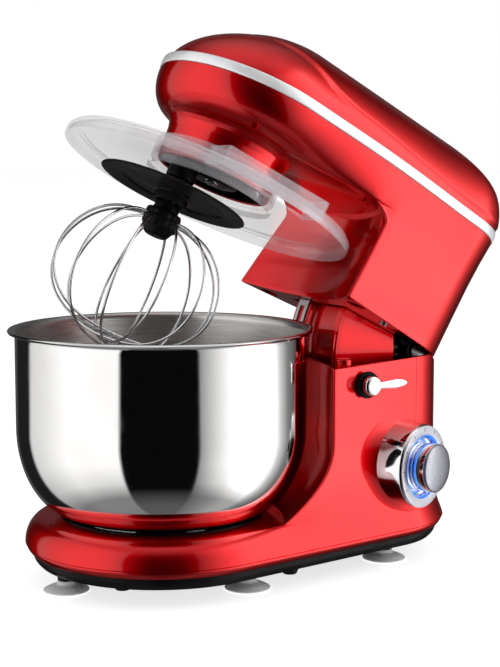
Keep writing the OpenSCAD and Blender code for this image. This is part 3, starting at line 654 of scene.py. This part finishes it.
add("base_plate", [skin([pad_ring(RIM_Z - 0.2, -9.5), pad_ring(RIM_Z - 0.2, -5.9)]
                        + [pad_ring(z, lerp(-5.7, -10.5, ((RIM_Z - 1 - z) / 8.0) ** 2))
                           for z in span(RIM_Z - 1, PLATE_Z + 0.4, 6)]
                        + [pad_ring(PLATE_Z, -12)])],
    "stand", ["bottom_plate"], "black_plastic")

cup = fillet([(13.6, 0.3), (14.2, 0), (17, 0), (17.2, 1.2), (12.4, 3.6), (7.4, 5.4), (6, 8), (0, 8),
              (0, 3.5), (7, 2.6)], 0.7, 3)
add("suction_feet", [shifted(lathe(cup, 64), x, y) for x, y in CUP_PLACES], "stand",
    ["suction_cups"], "foot_rubber")
stem = fillet([(0, 8), (6.5, 8), (6.5, 11), (4.5, 11.6), (4.5, 15), (0, 15)], 0.5, 3)
add("foot_stems", [shifted(lathe(stem, 48), x, y) for x, y in CUP_PLACES], "stand",
    ["cup_stems"], "black_plastic")
stub = fillet([(0, 6), (5.2, 6), (6.2, 8.5), (9, 15), (0, 15)], 0.9, 3)
add("rest_stubs", [shifted(lathe(stub, 40), x, y) for x, y in STUB_PLACES], "stand",
    ["foot_stubs"], "black_plastic")


def arc_block(r0, r1, z0, z1, start, sweep, n=14, edge=0.3):
    """A short arc of a ring, with slightly rounded edges."""
    def section(a, d):
        c, s = math.cos(a), math.sin(a)
        corners = fillet([(r0 + d, z0 + d), (r1 - d, z0 + d), (r1 - d, z1 - d), (r0 + d, z1 - d)],
                         edge, 2)
        return [(r * c, r * s, z) for r, z in corners]
    angles = [math.radians(a) for a in span(start, start + sweep, n)]
    rings = [section(angles[0] - 0.004, edge)] + [section(a, 0) for a in angles]
    rings.append(section(angles[-1] + 0.004, edge))
    return skin(rings)


seat = [turned([(74.4, 44), (77, 44), (77, 51.5), (74.4, 51.5), (74.4, 46), (20, 46), (20, 44)], 0.6, 144)]
seat += [arc_block(71.4, 75, 50.3, 51.5, a + 30, 40) for a in (0, 120, 240)]
add("seat_ring", seat, "stand", ["bowl_seat"], "black_plastic")


def shroud_section(half, r, groove):
    """Points of the shroud across the column at one angle: rounded shoulders and a centre groove."""
    out = []
    for y in span(-half, half, 48):
        shoulder = max(0.0, abs(y) - (half - 6)) / 6
        dip = groove * math.exp(-(((y - 9) / 2.2) ** 2))
        out.append((r - 6 * (1 - math.sqrt(max(0.0, 1 - shoulder ** 2))) - dip, y))
    return out


def shroud():
    """Curved cover of the hinge, about the hinge's axis."""
    rings = []
    for a in span(149.9, 184.6, 40):
        outer = shroud_section(SHROUD_HALF, SHROUD_R, 1.2)
        c, s = unit(a)
        edge = [(84.0, y) for _, y in reversed(outer)]
        rings.append([(HINGE_X + r * c, y, SPLIT_Z + r * s) for r, y in outer + edge])
    return skin(rings)


def cheek(side):
    """Flat side of the shroud from its curve back towards the hinge."""
    r = SHROUD_R - 1
    ring = [(HINGE_X + r * c, SPLIT_Z + r * s) for c, s in (unit(a) for a in span(184.4, 150.2, 20))]
    ring += [(189, 204.6), (189, 155)]
    y0, y1 = (32.2, 34.8) if side > 0 else (-34.8, -32.2)
    return skin([[(x, y, z) for x, z in ring] for y in (y0, y1)])


add("hinge_dome", [shroud(), cheek(1), cheek(-1)], "stand", ["hinge_shroud"], "red_casing")

peg = fillet([(0, 156), (6.5, 156), (6.5, 166.4), (5.4, 167), (0, 167)], 0.8, 4)
foot = slab(rounded_box(6, 5, 1.5), 156, 160, 0.4)
pegs = [shifted(lathe(peg, 40), PEG_X, s * PEG_Y) for s in (-1, 1)]
pegs += [shifted(foot, PEG_X + 1, s * (PEG_Y + 4)) for s in (-1, 1)]
add("rest_pegs", pegs, "stand", ["column_pegs"], "red_casing")

# ---------------- dial and lever

bezel = [(9, -6), (DIAL_R + DIAL_FLARE, -6), (DIAL_R + DIAL_FLARE, 1), (DIAL_R, DIAL_DEPTH - 1.5),
         (DIAL_R - 1.5, DIAL_DEPTH), (DIAL_HOLE_R, DIAL_DEPTH), (DIAL_HOLE_R, 13.2), (9, 13.2)]
add("bezel", [turned(bezel, 0.9, 128)], "stand", ["dial_bezel"], "chrome_trim", DIAL)

ticks = []
for i in range(9):
    plan = rounded_box(1.3 if i % 2 else 1.7, 0.32, 0.2, 3)
    mark = slab(plan, DIAL_DEPTH + 0.45, DIAL_DEPTH + 0.7, 0.05, 1, 1)
    ticks.append(moved(mark, spin(-30 + 30 * i, "Z") @ shift(DIAL_R - 3.6, 0, 0)))
add("dial_plate", [ring_of(10, 24.8, 13.5, 15.5, 0.3),
                   ring_of(DIAL_HOLE_R, DIAL_R - 0.7, DIAL_DEPTH - 0.1, DIAL_DEPTH + 0.6, 0.25, 128)] + ticks,
    "stand", ["dial_face"], "satin_trim", DIAL, look=[FACE, INK])

# Two thin lit rings, at the lip and round the knob, with a polished groove between them
LIP_Z = DIAL_DEPTH - 0.7
lip_light = [(24.0, LIP_Z), (24.9, LIP_Z), (24.9, DIAL_DEPTH + 0.5), (24.3, DIAL_DEPTH + 0.5)]
add("light_rings", [turned(lip_light, 0.25, 128), ring_of(20.5, 21.3, 15.6, 16.5, 0.25, 128)],
    "stand", ["led_ring"], "blue_light", DIAL)
groove = [(21.5, 15.55), (24.9, 15.55), (24.9, LIP_Z - 0.1), (24.1, LIP_Z - 0.1), (23.4, 17.0), (21.5, 16.1)]
add("light_groove", [turned(groove, 0.2, 128)], "stand", (), "chrome_trim", DIAL)

collar = [(16.5, 16), (18.6, 16), (19, 17), (19, 20.4), (18.5, 21), (18.5, 22), (19, 22.6), (19, 33),
          (16.5, 33)]
add("knob_collar", [turned(collar, 0.35, 128), ring_of(6.1, 16.6, 22, 25)],
    "speed_knob", ["knob_sleeve"], "chrome_trim", DIAL)
dome = [(0, 37.0)] + [(r, 33.9 + 3.1 * math.sqrt(max(0.0, 1 - (r / 19.4) ** 2)))
                      for r in (4, 7, 10, 12.5, 14.5, 16, 17.2, 18.1)]
dome += [(18.6, 34.7), (18.9, 34.1), (18.7, 33.5), (18.2, 33.2), (0, 33.2)]
add("knob_top", [lathe(dome[::-1], 128)], "speed_knob", ["knob_cap"], "satin_trim", DIAL)

flange = [(4.05, 1.6), (10.5, 1.6), (10.2, 3.0), (9.4, 3.4), (4.05, 3.4)]
add("lever_ring", [ring_of(4.05, 7.2, -10, 2), turned(flange, 0.4, 72)],
    "stand", ["lever_bush"], "black_plastic", LEVER)


LEAF_HALF_WIDTH = [(0, 3.6), (0.2, 2.9), (0.45, 3.3), (0.65, 3.6), (0.85, 2.8), (0.96, 1.4), (1, 0.35)]


def lever_blade():
    """Tapered leaf from the boss to its tip: wide in the middle, thin at the end."""
    rings = []
    for t in span(0, 1, 40):
        x = lerp(2, 32.2, t)
        half = along(LEAF_HALF_WIDTH, t)
        thick = lerp(1.9, 1.0, t) if t < 0.95 else lerp(1.0, 0.3, (t - 0.95) / 0.05)
        ring = []
        for k in range(28):
            a = 2 * math.pi * k / 28
            crown = 1.15 if math.sin(a) > 0 else 0.7
            ring.append((x, 0.6 * t + half * math.cos(a), 8.7 + thick * math.sin(a) * crown))
        rings.append(ring)
    return skin(rings)


boss = [(0, 3.7), (6.2, 3.7), (7.2, 4.4), (7.6, 6), (7.6, 9.2), (6.9, 10.4), (5.2, 11.1), (0, 11.4)]
add("lever_arm", [turned(boss, 0.8, 72), lever_blade()], "head_release", ["release_lever"],
    "chrome_trim", LEVER)

# ---------------- bowl

N_BOWL = 200


def bowl_curve(t):
    """Quarter ellipse from the wall down to the flat floor, t inside the outer surface."""
    across, down = BOWL_R - BOWL_FLAT_R - t, BOWL_CURVE_Z - BOWL_FLOOR_Z - t
    return [(BOWL_FLAT_R + across * c, BOWL_CURVE_Z - down * s)
            for c, s in (unit(90 * i / 36) for i in range(37))]


# Rolled rim from outside to inside: radius, and depth below the top
roll = [(BOWL_R, 7), (BOWL_R + 0.6, 4.2), (BOWL_RIM_R - 2.6, 3.4), (BOWL_RIM_R - 0.7, 2.7),
        (BOWL_RIM_R, 1.5), (BOWL_RIM_R - 0.7, 0.4), (BOWL_RIM_R - 2, 0), (BOWL_R + 1.4, 0.9),
        (BOWL_R - 0.4, 2.4), (BOWL_R - SHEET, 6)]
lip = [(r, BOWL_RIM_Z - drop) for r, drop in roll]


def open_lathe(profile, n, index):
    """An open profile of (radius, height) turned about Z."""
    points = [(r * math.cos(2 * math.pi * i / n), r * math.sin(2 * math.pi * i / n), z)
              for i in range(n) for r, z in profile]
    m = len(profile)
    faces = [(i * m + j, i * m + j + 1, ((i + 1) % n) * m + j + 1, ((i + 1) % n) * m + j)
             for i in range(n) for j in range(m - 1)]
    return points, faces, index


outside = [(r, BOWL_FLOOR_Z) for r in (0, 20, 45)] + bowl_curve(0)[::-1] + lip[:8]
inside = lip[7:] + bowl_curve(SHEET) + [(r, BOWL_FLOOR_Z + SHEET) for r in (45, 20, 0)]
add("steel_bowl", [open_lathe(outside, N_BOWL, 0), open_lathe(inside, N_BOWL, 1)], "bowl",
    ["mixing_bowl"], "bowl_steel", sharp=50, look=[MIRROR, INSIDE])

foot_parts = [turned([(FOOT_R - 1.6, 46.4), (FOOT_R, 46.4), (FOOT_R, 51), (FOOT_R - 1.6, 51)], 0.5, 160),
              ring_of(FOOT_R - 9, FOOT_R - 1.6, 49.8, 50.9, 0.3, 160)]
foot_parts += [arc_block(FOOT_R - 0.2, FOOT_R + 3.6, 47.4, 49.2, a + 40, 20) for a in (0, 120, 240)]
add("bowl_foot", foot_parts, "bowl", ["bowl_foot_ring"], "chrome_trim")

# ---------------- head casing

BULGE = 0.075


def bulged(ring, weight):
    """Lets the long sides of the head belly out between nose and tail."""
    out = []
    for x, y, z in ring:
        b = max(0.0, 1 - ((x - 112) / 108) ** 2) ** 2
        out.append((x, y * (1 + BULGE * weight * b), z))
    return out


# Share of the way up to the ridge where the cover's crease runs, by place along X
CREASE = [(-32, 1.05), (-20, 0.74), (0, 0.66), (16, 0.55), (30, 0.44), (50, 0.36), (80, 0.33),
          (125, 0.27), (165, 0.24), (200, 0.22), (262, 0.20)]


def top_ring(u, inset):
    """Ring of the top cover: u is 0 at the strip and 1 at the ridge."""
    k = math.sqrt(max(0.0, 1 - u * u))
    r1 = max(HEAD_FRONT_R * k - inset, 0.6)
    r2 = max(HEAD_TAIL_R * k ** 0.95 - inset, 0.5)
    c1, c2 = HEAD_FRONT_X + 21 * u * u, HEAD_TAIL_X + 2 - 50 * u ** 8
    z = STRIP_Z + (RIDGE_Z - STRIP_Z) * u - (inset if u > 0.5 else 0)
    ring = bulged(teardrop(z, c1, r1, c2, r2, HEAD_CORNER_X), k)
    if inset:
        return ring
    out = []
    for x, y, z in ring:
        # Above the crease the cover stands a little proud of the nose and the lower band
        step = ease((u - along(CREASE, x)) * 60 / 2.4) * ease((x + 34) / 30)
        centre = Vector((min(max(x, c1), c2), 0, STRIP_Z))
        away = (Vector((x, y, z)) - centre).normalized() * (1.3 * step - 1.3)
        out.append((x + away.x, y + away.y, z + away.z))
    return out


u0 = (STRIP_H + 0.3) / (RIDGE_Z - STRIP_Z)
top_levels = [math.sin(a) for a in span(math.asin(u0), math.pi / 2 * 0.997, 84)]
top_rings = [top_ring(u, 0) for u in top_levels][::-1] + [top_ring(u0, WALL)]
top_rings += [top_ring(u, WALL) for u in span(u0, 0.97, 14)[1:]]
add("top_cover", [skin(top_rings)], "head", ["head_top_cover"], "red_casing", HEAD, 50)


def strip_ring(z, grow):
    return bulged(teardrop(z, HEAD_FRONT_X, HEAD_FRONT_R + grow, HEAD_TAIL_X, HEAD_TAIL_R + grow,
                           HEAD_CORNER_X), 1.0)


strip_profile = [(0.35, STRIP_H), (0.75, STRIP_H - 0.3), (1.0, STRIP_H - 1.2), (1.15, STRIP_H / 2),
                 (1.0, 1.4), (0.75, 0.6), (0.35, 0.3), (-2.5, 0.3), (-2.5, STRIP_H)]
add("silver_strip", [skin([strip_ring(STRIP_Z + z, g - 0.3) for g, z in strip_profile], True)],
    "head", ["trim_strip"], "satin_trim", HEAD, 40, look=STRIP)


def leg_front(z):
    """Front corner of the leg at height z: place along X, half width and hollow of the front."""
    arch = 13 * (max(0.0, z - 226) / 14) ** 2
    low = (PAN_Z - z) / (PAN_Z - SPLIT_Z)
    xf = lerp(111, 100, max(0.0, 229 - z) / 67) - arch
    return xf, lerp(70, 82, max(0.0, low) ** 0.62), xf + lerp(15, 19, low)


def pan_ring(t, inset):
    """Pan level: t is 0 at the strip and 90 at the underside."""
    c, s = unit(t)
    z = STRIP_Z - 0.3 - (STRIP_Z - 0.3 - PAN_Z) * s
    xe, ye, _ = leg_front(PAN_Z)
    xf = lerp(HEAD_CORNER_X, xe, s)
    half = side_y(HEAD_FRONT_X, HEAD_FRONT_R, HEAD_TAIL_X, HEAD_TAIL_R, HEAD_CORNER_X)
    yf = lerp(half, ye, s) - inset
    c1, r1 = HEAD_FRONT_X * c, 50 + (HEAD_FRONT_R - 50) * c - inset
    ring = outline(z, xf, yf, lerp(HEAD_TAIL_X, LEG_TAIL_X, s), HEAD_TAIL_R - inset,
                   round_front(c1, r1, xf, yf), lerp(20, 5, s))
    return bulged(ring, c)


def leg_ring(z, inset):
    """Outline of the leg: the head's tail at PAN_Z and the column's at SPLIT_Z."""
    xf, yf, xc = leg_front(z)
    d = max(0.0, (PAN_Z - z) / (PAN_Z - SPLIT_Z))
    return outline(z, xf + inset, yf - inset, lerp(LEG_TAIL_X, COLUMN_TAIL_X[0], d),
                   lerp(HEAD_TAIL_R, COLUMN_TAIL_R[0], d) - inset,
                   hollow_front(xf + inset, yf - inset, xc + inset), 5.0)


pan = [pan_ring(t, 0) for t in span(0, 90, 24)]
leg_z = [PAN_Z - 0.4] + span(239, 226, 10) + span(224, SPLIT_Z + 1.6, 12)
legs = [leg_ring(z, 0) for z in leg_z] + [leg_ring(SPLIT_Z + 0.9, 0.2), leg_ring(SPLIT_Z + 0.5, 0.8)]
legs_in = [leg_ring(z, WALL) for z in [SPLIT_Z + 0.5, 186, 210, 236]]
pan_in = [pan_ring(t, WALL) for t in (84, 60, 35, 15, 0)]
flanks = pan + blend_rings(pan[-1], legs[0], 8) + legs
# The head's side runs down into the leg in one sweep between these two heights
flanks = faired(flanks, ring_at(flanks, 262), ring_at(flanks, 205), 2)
lower = skin([pan_ring(0, 1.4)] + flanks + legs_in + pan_in, True)
lower_housing = add("lower_casing", [lower], "head", ["head_lower_housing"], "red_casing", HEAD, 40)


# Screw wells in the underside: place in the closed head, and the lean of the skin there in degrees
WELLS = [(-16, 60, 243.8, 33, 12), (96, 57, 237.5, 4, 4)]


def well_place(x, y, z, roll, pitch):
    """Frame on the underside of the closed head, with its Z axis going straight into the skin."""
    return shift(x, y, z) @ spin(pitch, "Y") @ spin(roll, "X")


wells = [well_place(x, side * y, z, side * roll, pitch)
         for x, y, z, roll, pitch in WELLS for side in (-1, 1)]
cut(lower_housing, [moved(rod(3.6, -1.5, 9, 32), HEAD @ well) for well in wells])
cup_wall = [(0, 4.6), (4.4, 4.6), (4.4, 0.8), (3.6, 0.8), (3.6, 3.4), (0, 3.4)]
add("screw_wells", [moved(turned(cup_wall[::-1], 0.3, 40), well) for well in wells], "head", (),
    "red_casing", HEAD)

# The neck runs up from its open end and flares into the underside; inside it a black roof and liner are
# painted shade, standing in for the shade in the neck
neck = [(43.6, 206.6), (45.0, 206.2), (45.5, 207.2), (46.2, 220), (46.8, 230), (48.0, 235), (50.4, 238.2),
        (54.5, 240.2), (43.0, 240.2), (43.0, 236), (43.6, 235)]
neck_shade_roof = turned([(0, 224), (43.2, 224), (43.2, 226), (0, 226)], 0.4, 96, 4, 1)
neck_shade_liner = ring_of(42.4, 43.4, 207, 224, 0.3, 128, 1)
add("neck_ring", [turned(neck, 0.5, 128), neck_shade_roof, neck_shade_liner], "head", ["neck_collar"],
    "red_casing", HEAD, look=[RED, BLACK])

sole_rings = [leg_ring(SPLIT_Z + 0.7, 3.6)] + [leg_ring(SPLIT_Z + z, WALL + 0.25) for z in (0.9, 3.5)]
sole = add("leg_sole", [skin(sole_rings)], "head", ["leg_bottom_cover"], "red_casing", HEAD)
# Openings for the shroud, the hinge plates, the strap, the pegs and the screws
sole_cuts = [box_part(129, 270, -39, 39, 150, 180), box_part(214, 274, -70, 70, 150, 180),
             box_part(122, 134, STRAP_Y - 9.5, STRAP_Y + 9.5, 150, 180)]
for side in (-1, 1):
    sole_cuts.append(shifted(rod(7.5, 150, 180, 48), PEG_X, side * PEG_Y))
    sole_cuts.append(shifted(rod(3.0, 150, 180, 32), 160, side * 52))
cut(sole, [moved(c, HEAD) for c in sole_cuts])


def strap():
    """Curved strap with a long round-ended slot and a rounded free end."""
    def ribbon(a, lo, hi):
        c, s = unit(a)
        corners = ((STRAP_R - 1, lo), (STRAP_R + 1, lo), (STRAP_R + 1, hi), (STRAP_R - 1, hi))
        return [(HINGE_X + r * c, y, SPLIT_Z + r * s) for r, y in corners]
    y0, y1 = STRAP_Y - 7, STRAP_Y + 7
    parts = []
    for lo_side, hi_side in ((y0, STRAP_Y - 3.2), (STRAP_Y + 3.2, y1)):
        parts.append(skin([ribbon(a, lo_side, hi_side) for a in span(156, 194, 30)]))
    parts.append(skin([ribbon(a, y0, y1) for a in span(146, 156, 8)]))
    parts.append(skin([ribbon(a, y0 + 5 * ((a - 194) / 8) ** 4, y1 - 5 * ((a - 194) / 8) ** 4)
                       for a in span(194, 202, 12)]))
    return parts


tab = slab(rounded_box(4.1, 14, 1.5), SPLIT_Z + 3.9, SPLIT_Z + 5.9, 0.3)
add("lock_band", strap() + [moved(tab, HEAD @ shift(128.1, STRAP_Y, 0))], "head",
    ["lock_strap"], "pressed_steel", look=STRAP)

# ---------------- planetary head and whisk

# Plan of the carrier's arm: a small round end over the tool shaft and a large one over the centre
arm = [(ORBIT_R + 11.5 * c, 11.5 * s) for c, s in (unit(a + 180) for a in span(90, 270, 20))]
arm += [(20 * c, 20 * s) for c, s in (unit(a + 7) for a in span(28, 332, 40))]
sleeve = turned([(5.4, 191.2), (10.4, 191.2), (11.2, 193), (11.2, 208), (5.4, 208)], 1.0, 72)
add("carrier_arm", [moved(slab(arm, 205.5, 221, 1.6, 4), TURN), ring_of(6.4, 13, 204.6, 207, 0.4),
                    moved(sleeve, ORBIT)], "carrier", ["planet_carrier"], "black_plastic", HEAD)
cross = [box_part(-3.2, 3.2, -0.6, 0.6, 202.8, 204.6), box_part(-0.6, 0.6, -3.2, 3.2, 202.8, 204.6)]
screw = add("carrier_bolt", [turned([(0, 203.4), (4.6, 203.4), (5.5, 204.3), (5.5, 206), (0, 206)], 0.5, 48)],
    "carrier", ["carrier_screw"], "machine_steel", HEAD, look=WIRE)
cut(screw, [moved(c, HEAD) for c in cross])

plate = [(5, 178), (11.4, 178), (12.2, 180.6), (39.6, 181.4), (41, 180.2), (56.8, 179.2), (58, 179.9),
         (57, 181), (42, 182.4), (41, 184), (14, 184.6), (14, 190), (5, 190)]
add("splash_plate", [ring_of(10.8, 13.0, 172.8, 178.6, 0.6), turned(plate, 0.6, 144)],
    "tool", ["splash_disc"], "black_plastic", TOOL, look=GREY_BLACK)


def hub_outline(n=192):
    """Lobed outline of the hub, one lobe for each wire end."""
    lobes = 2 * WHISK_LOOPS
    reach = [(2 * math.pi * k / n, 13.2 + 0.8 * abs(math.cos(lobes * math.pi * k / n)) ** 1.5)
             for k in range(n)]
    return [(r * math.cos(a), r * math.sin(a)) for a, r in reach]


# The grip slides up on the tool shaft, so it has a bore and room for the shaft's pin
grip = add("whisk_grip", [slab(hub_outline(), HUB_LOW + 2, HUB_LOW + 16, 2.6, 6)],
    "whisk", ["whisk_hub"], "black_plastic", TOOL)
BORE_R, PIN_REACH = 5.1, 8.9
bore = rod(BORE_R, HUB_LOW, HUB_TOP)
pin_slot = box_part(-1.8, 1.8, -PIN_REACH, PIN_REACH, PIN_Z - 6.8, PIN_Z + 2.2)
pin_room = rod(PIN_REACH, PIN_Z - 1.8, PIN_Z + 2.2)
cut(grip, [moved(c, TOOL) for c in (bore, pin_slot, pin_room)])
grip_collar = [(BORE_R, HUB_LOW + 15), (10, HUB_LOW + 15), (9.5, HUB_TOP - 0.8), (8.8, HUB_TOP),
               (BORE_R, HUB_TOP)]
grip_tip = [(0, HUB_LOW - 4), (7.6, HUB_LOW - 4), (9.4, HUB_LOW - 2.6), (12, HUB_LOW + 2.4),
            (BORE_R, HUB_LOW + 2.4), (BORE_R, HUB_LOW - 1.5), (0, HUB_LOW - 1.5)]
add("whisk_grip_ends", [turned(grip_collar, 0.5), turned(grip_tip, 0.6)], "whisk", (),
    "black_plastic", TOOL)


def loop(k):
    """Wire loop k, from hub to hub round the bottom."""
    low, high, root = WHISK_LOW_Z + (2 * WIRE_R + 0.3) * k, HUB_LOW + 9, 10.4
    path = []
    for i in range(97):
        a = math.radians(-180 + 360 * i / 96)
        sign = math.copysign(1, a) if abs(a) > 1e-9 else 0.0
        waist = root * max(0.0, -math.cos(a)) * sign
        x = waist + (WHISK_R - abs(waist)) * abs(math.sin(a)) ** 0.85 * sign
        path.append((x, 0, lerp(low, high, ((1 - math.cos(a)) / 2) ** 1.1)))
    return moved(wire(path, WIRE_R, 14), spin(k * 180 / WHISK_LOOPS + 7, "Z"))


add("whisk_loops", [loop(k) for k in range(WHISK_LOOPS)], "whisk", ["whisk_wires"], "wire_steel",
    TOOL, 80)

# ---------------- splash guard

# Section of the guard: over the top to its ribbed rim, down the skirt, and back underneath
guard_top = [(48.2, 205), (60, 203.9), (103.2, 200.3), (104.4, 202.4), (105.8, 202.6), (106.8, 201.2),
             (109.4, 201.2), (110.4, 202.6), (112.4, 202.2), (113.9, 200.4), (115.6, 198.6)]
guard_skirt = [(115.6, 192.4), (113.8, 192.4)]
guard_under = [(113.8, 197.2), (112, 199.0), (109.5, 199.8), (107, 199.8), (104.6, 198.2), (60, 201.9),
               (50.8, 202.6), (50.8, 198), (48.2, 198)]
guard = guard_top + guard_skirt + guard_under
CHUTE_X, CHUTE_Y, CHUTE_Z, CHUTE_WALL = (-42, 50), (-90, -62), (199.4, 214), 2.2
guard_piece = add("clear_guard", [turned(guard, 0.5, 192, 3)], "guard", ["splash_guard"],
    "clear_plastic", HEAD)
chute_hole = box_part(CHUTE_X[0] + 2, CHUTE_X[1] - 2, CHUTE_Y[0] + 2.1, CHUTE_Y[1], 190, 230)
cut(guard_piece, [moved(chute_hole, HEAD)])
add("guard_neck", [turned([(48.2, 205.4), (48.2, 221), (50.4, 221), (50.4, 205.2)], 0.5, 128)],
    "guard", (), "clear_plastic", HEAD)


def chute_wall(x0, x1, y0, y1):
    """One wall of the feed chute, with rounded edges."""
    block = slab(rounded_box((x1 - x0) / 2, (y1 - y0) / 2, 0.9), CHUTE_Z[0], CHUTE_Z[1], 0.7, 3)
    return shifted(block, (x0 + x1) / 2, (y0 + y1) / 2)


(left, right), (near, far) = CHUTE_X, CHUTE_Y
inner_end = near + CHUTE_WALL + 0.2
add("feed_chute", [chute_wall(left, right, near, near + CHUTE_WALL),
                   chute_wall(left, left + CHUTE_WALL, inner_end, far),
                   chute_wall(right - CHUTE_WALL, right, inner_end, far)],
    "guard", (), "clear_plastic", HEAD)

# ---------------- kept CAD nodes

slots = {s["node"]: s["material_slot"] for s in frame["record"]["subparts"]}
for node, cad in frame["nodes"].items():
    cad.data.materials.clear()
    cad.data.materials.append(SLOT_LOOKS[slots[node]])

# ---------------- studio

scene = bpy.context.scene
scene.view_settings.view_transform = "Standard"
scene.view_settings.look = "None"

camera_data = bpy.data.cameras.new("camera")
camera_data.sensor_width = 36.0
camera_data.lens = 81.93
camera = bpy.data.objects.new("camera", camera_data)
camera.location = (-0.512, -1.016, 0.3182)
camera.rotation_euler = (math.radians(90 - 6.6), 0, math.radians(-30.11))
scene.collection.objects.link(camera)
scene.camera = camera


# The floor glows a little so that it runs into the white background
floor_look = Look("floor", (0.90, 0.90, 0.90), 0.0, 0.14, Specular_IOR_Level=0.16,
                  Emission_Color=(1, 1, 1, 1), Emission_Strength=0.74)
floor_look.vary_roughness(floor_look.noise(6.0, 2.0), 0.12, 0.16)
FLOOR_HALF = 40
floor_mesh = bpy.data.meshes.new("floor")
floor_mesh.from_pydata([(FLOOR_HALF * x, FLOOR_HALF * y, 0) for x, y in ((-1, -1), (1, -1), (1, 1), (-1, 1))],
                       [], [(0, 1, 2, 3)])
floor_mesh.materials.append(floor_look.material)
floor = bpy.data.objects.new("floor", floor_mesh)
scene.collection.objects.link(floor)
floor.visible_glossy = False

# Brightness of the studio by compass angle from the camera, positive to its right, near the
# horizon: a black gap round the camera, a tall soft panel on each side and a dim room behind.
PANELS = [(-180, 0.03), (-158, 0.03), (-148, 0.004), (-124, 0.004), (-119, 0.28), (-100, 0.34), (-75, 0.45),
          (-31, 0.43), (-28.5, 0.0), (32, 0.0), (33.5, 0.13), (60, 0.48), (80, 0.86), (97, 0.94), (102, 0.56),
          (110, 0.26), (120, 0.09), (134, 0.03), (146, 0.01), (160, 0.03), (180, 0.03)]
# Share of the panels by height of view, as the sine of its angle, and the light from above and below
PANEL_HEIGHTS = [(-1.0, 0.08), (-0.80, 0.16), (-0.62, 0.70), (-0.40, 0.95), (0.20, 1.0), (0.60, 0.95),
                 (0.72, 0.75), (0.82, 0.15), (1.0, 0.0)]
CEILING_HEIGHTS = [(-1.0, 0.10), (-0.90, 0.09), (-0.70, 0.0), (0.60, 0.0), (0.78, 0.30), (0.90, 0.55),
                   (1.0, 0.75)]
CAMERA_BEARING = math.radians(120.1)


class Studio:
    """World shader whose light depends only on the direction in space."""

    def __init__(self):
        world = bpy.data.worlds.new("studio")
        world.use_nodes = True
        scene.world = world
        self.nodes, self.link = world.node_tree.nodes, world.node_tree.links.new
        mapping = self.nodes.new("ShaderNodeMapping")
        mapping.inputs["Rotation"].default_value = (0, 0, CAMERA_BEARING)
        self.direction = self.nodes.new("ShaderNodeSeparateXYZ")
        self.link(self.nodes.new("ShaderNodeTexCoord").outputs["Generated"], mapping.inputs["Vector"])
        self.link(mapping.outputs["Vector"], self.direction.inputs["Vector"])

    def math(self, operation, a, b):
        node = self.nodes.new("ShaderNodeMath")
        node.operation = operation
        for slot, value in zip(node.inputs, (a, b)):
            if isinstance(value, (int, float)):
                slot.default_value = value
            else:
                self.link(value, slot)
        return node.outputs["Value"]

    def curve(self, value, table, low, high):
        """Reads a table of (value, brightness) with a colour ramp."""
        ramp = self.nodes.new("ShaderNodeValToRGB")
        stops = ramp.color_ramp.elements
        while len(stops) < len(table):
            stops.new(0.5)
        for stop, (x, level) in zip(stops, table):
            stop.position = (x - low) / (high - low)
            stop.color = (level, level, level, 1.0)
        share = self.math("MULTIPLY", self.math("SUBTRACT", value, low), 1.0 / (high - low))
        self.link(share, ramp.inputs["Fac"])
        return ramp.outputs["Color"]

    def build(self, panel_strength, ceiling_strength, room_light):
        """The room lights the object; the camera itself sees plain white."""
        bearing = self.math("ARCTAN2", self.direction.outputs["Y"], self.direction.outputs["X"])
        height = self.direction.outputs["Z"]
        panels = self.curve(bearing, [(math.radians(a), v) for a, v in PANELS], -math.pi, math.pi)
        sides = self.math("MULTIPLY", panels, self.curve(height, PANEL_HEIGHTS, -1.0, 1.0))
        ceiling = self.curve(height, CEILING_HEIGHTS, -1.0, 1.0)
        light = self.math("ADD", self.math("MULTIPLY", sides, panel_strength),
                          self.math("MULTIPLY", ceiling, ceiling_strength))
        room, white = self.nodes["Background"], self.nodes.new("ShaderNodeBackground")
        room.inputs["Color"].default_value = white.inputs["Color"].default_value = (1, 1, 1, 1)
        self.link(self.math("ADD", light, room_light), room.inputs["Strength"])
        mix = self.nodes.new("ShaderNodeMixShader")
        self.link(self.nodes.new("ShaderNodeLightPath").outputs["Is Camera Ray"], mix.inputs["Fac"])
        self.link(room.outputs["Background"], mix.inputs[1])
        self.link(white.outputs["Background"], mix.inputs[2])
        self.link(mix.outputs["Shader"], self.nodes["World Output"].inputs["Surface"])


Studio().build(panel_strength=2.75, ceiling_strength=1.1, room_light=0.003)
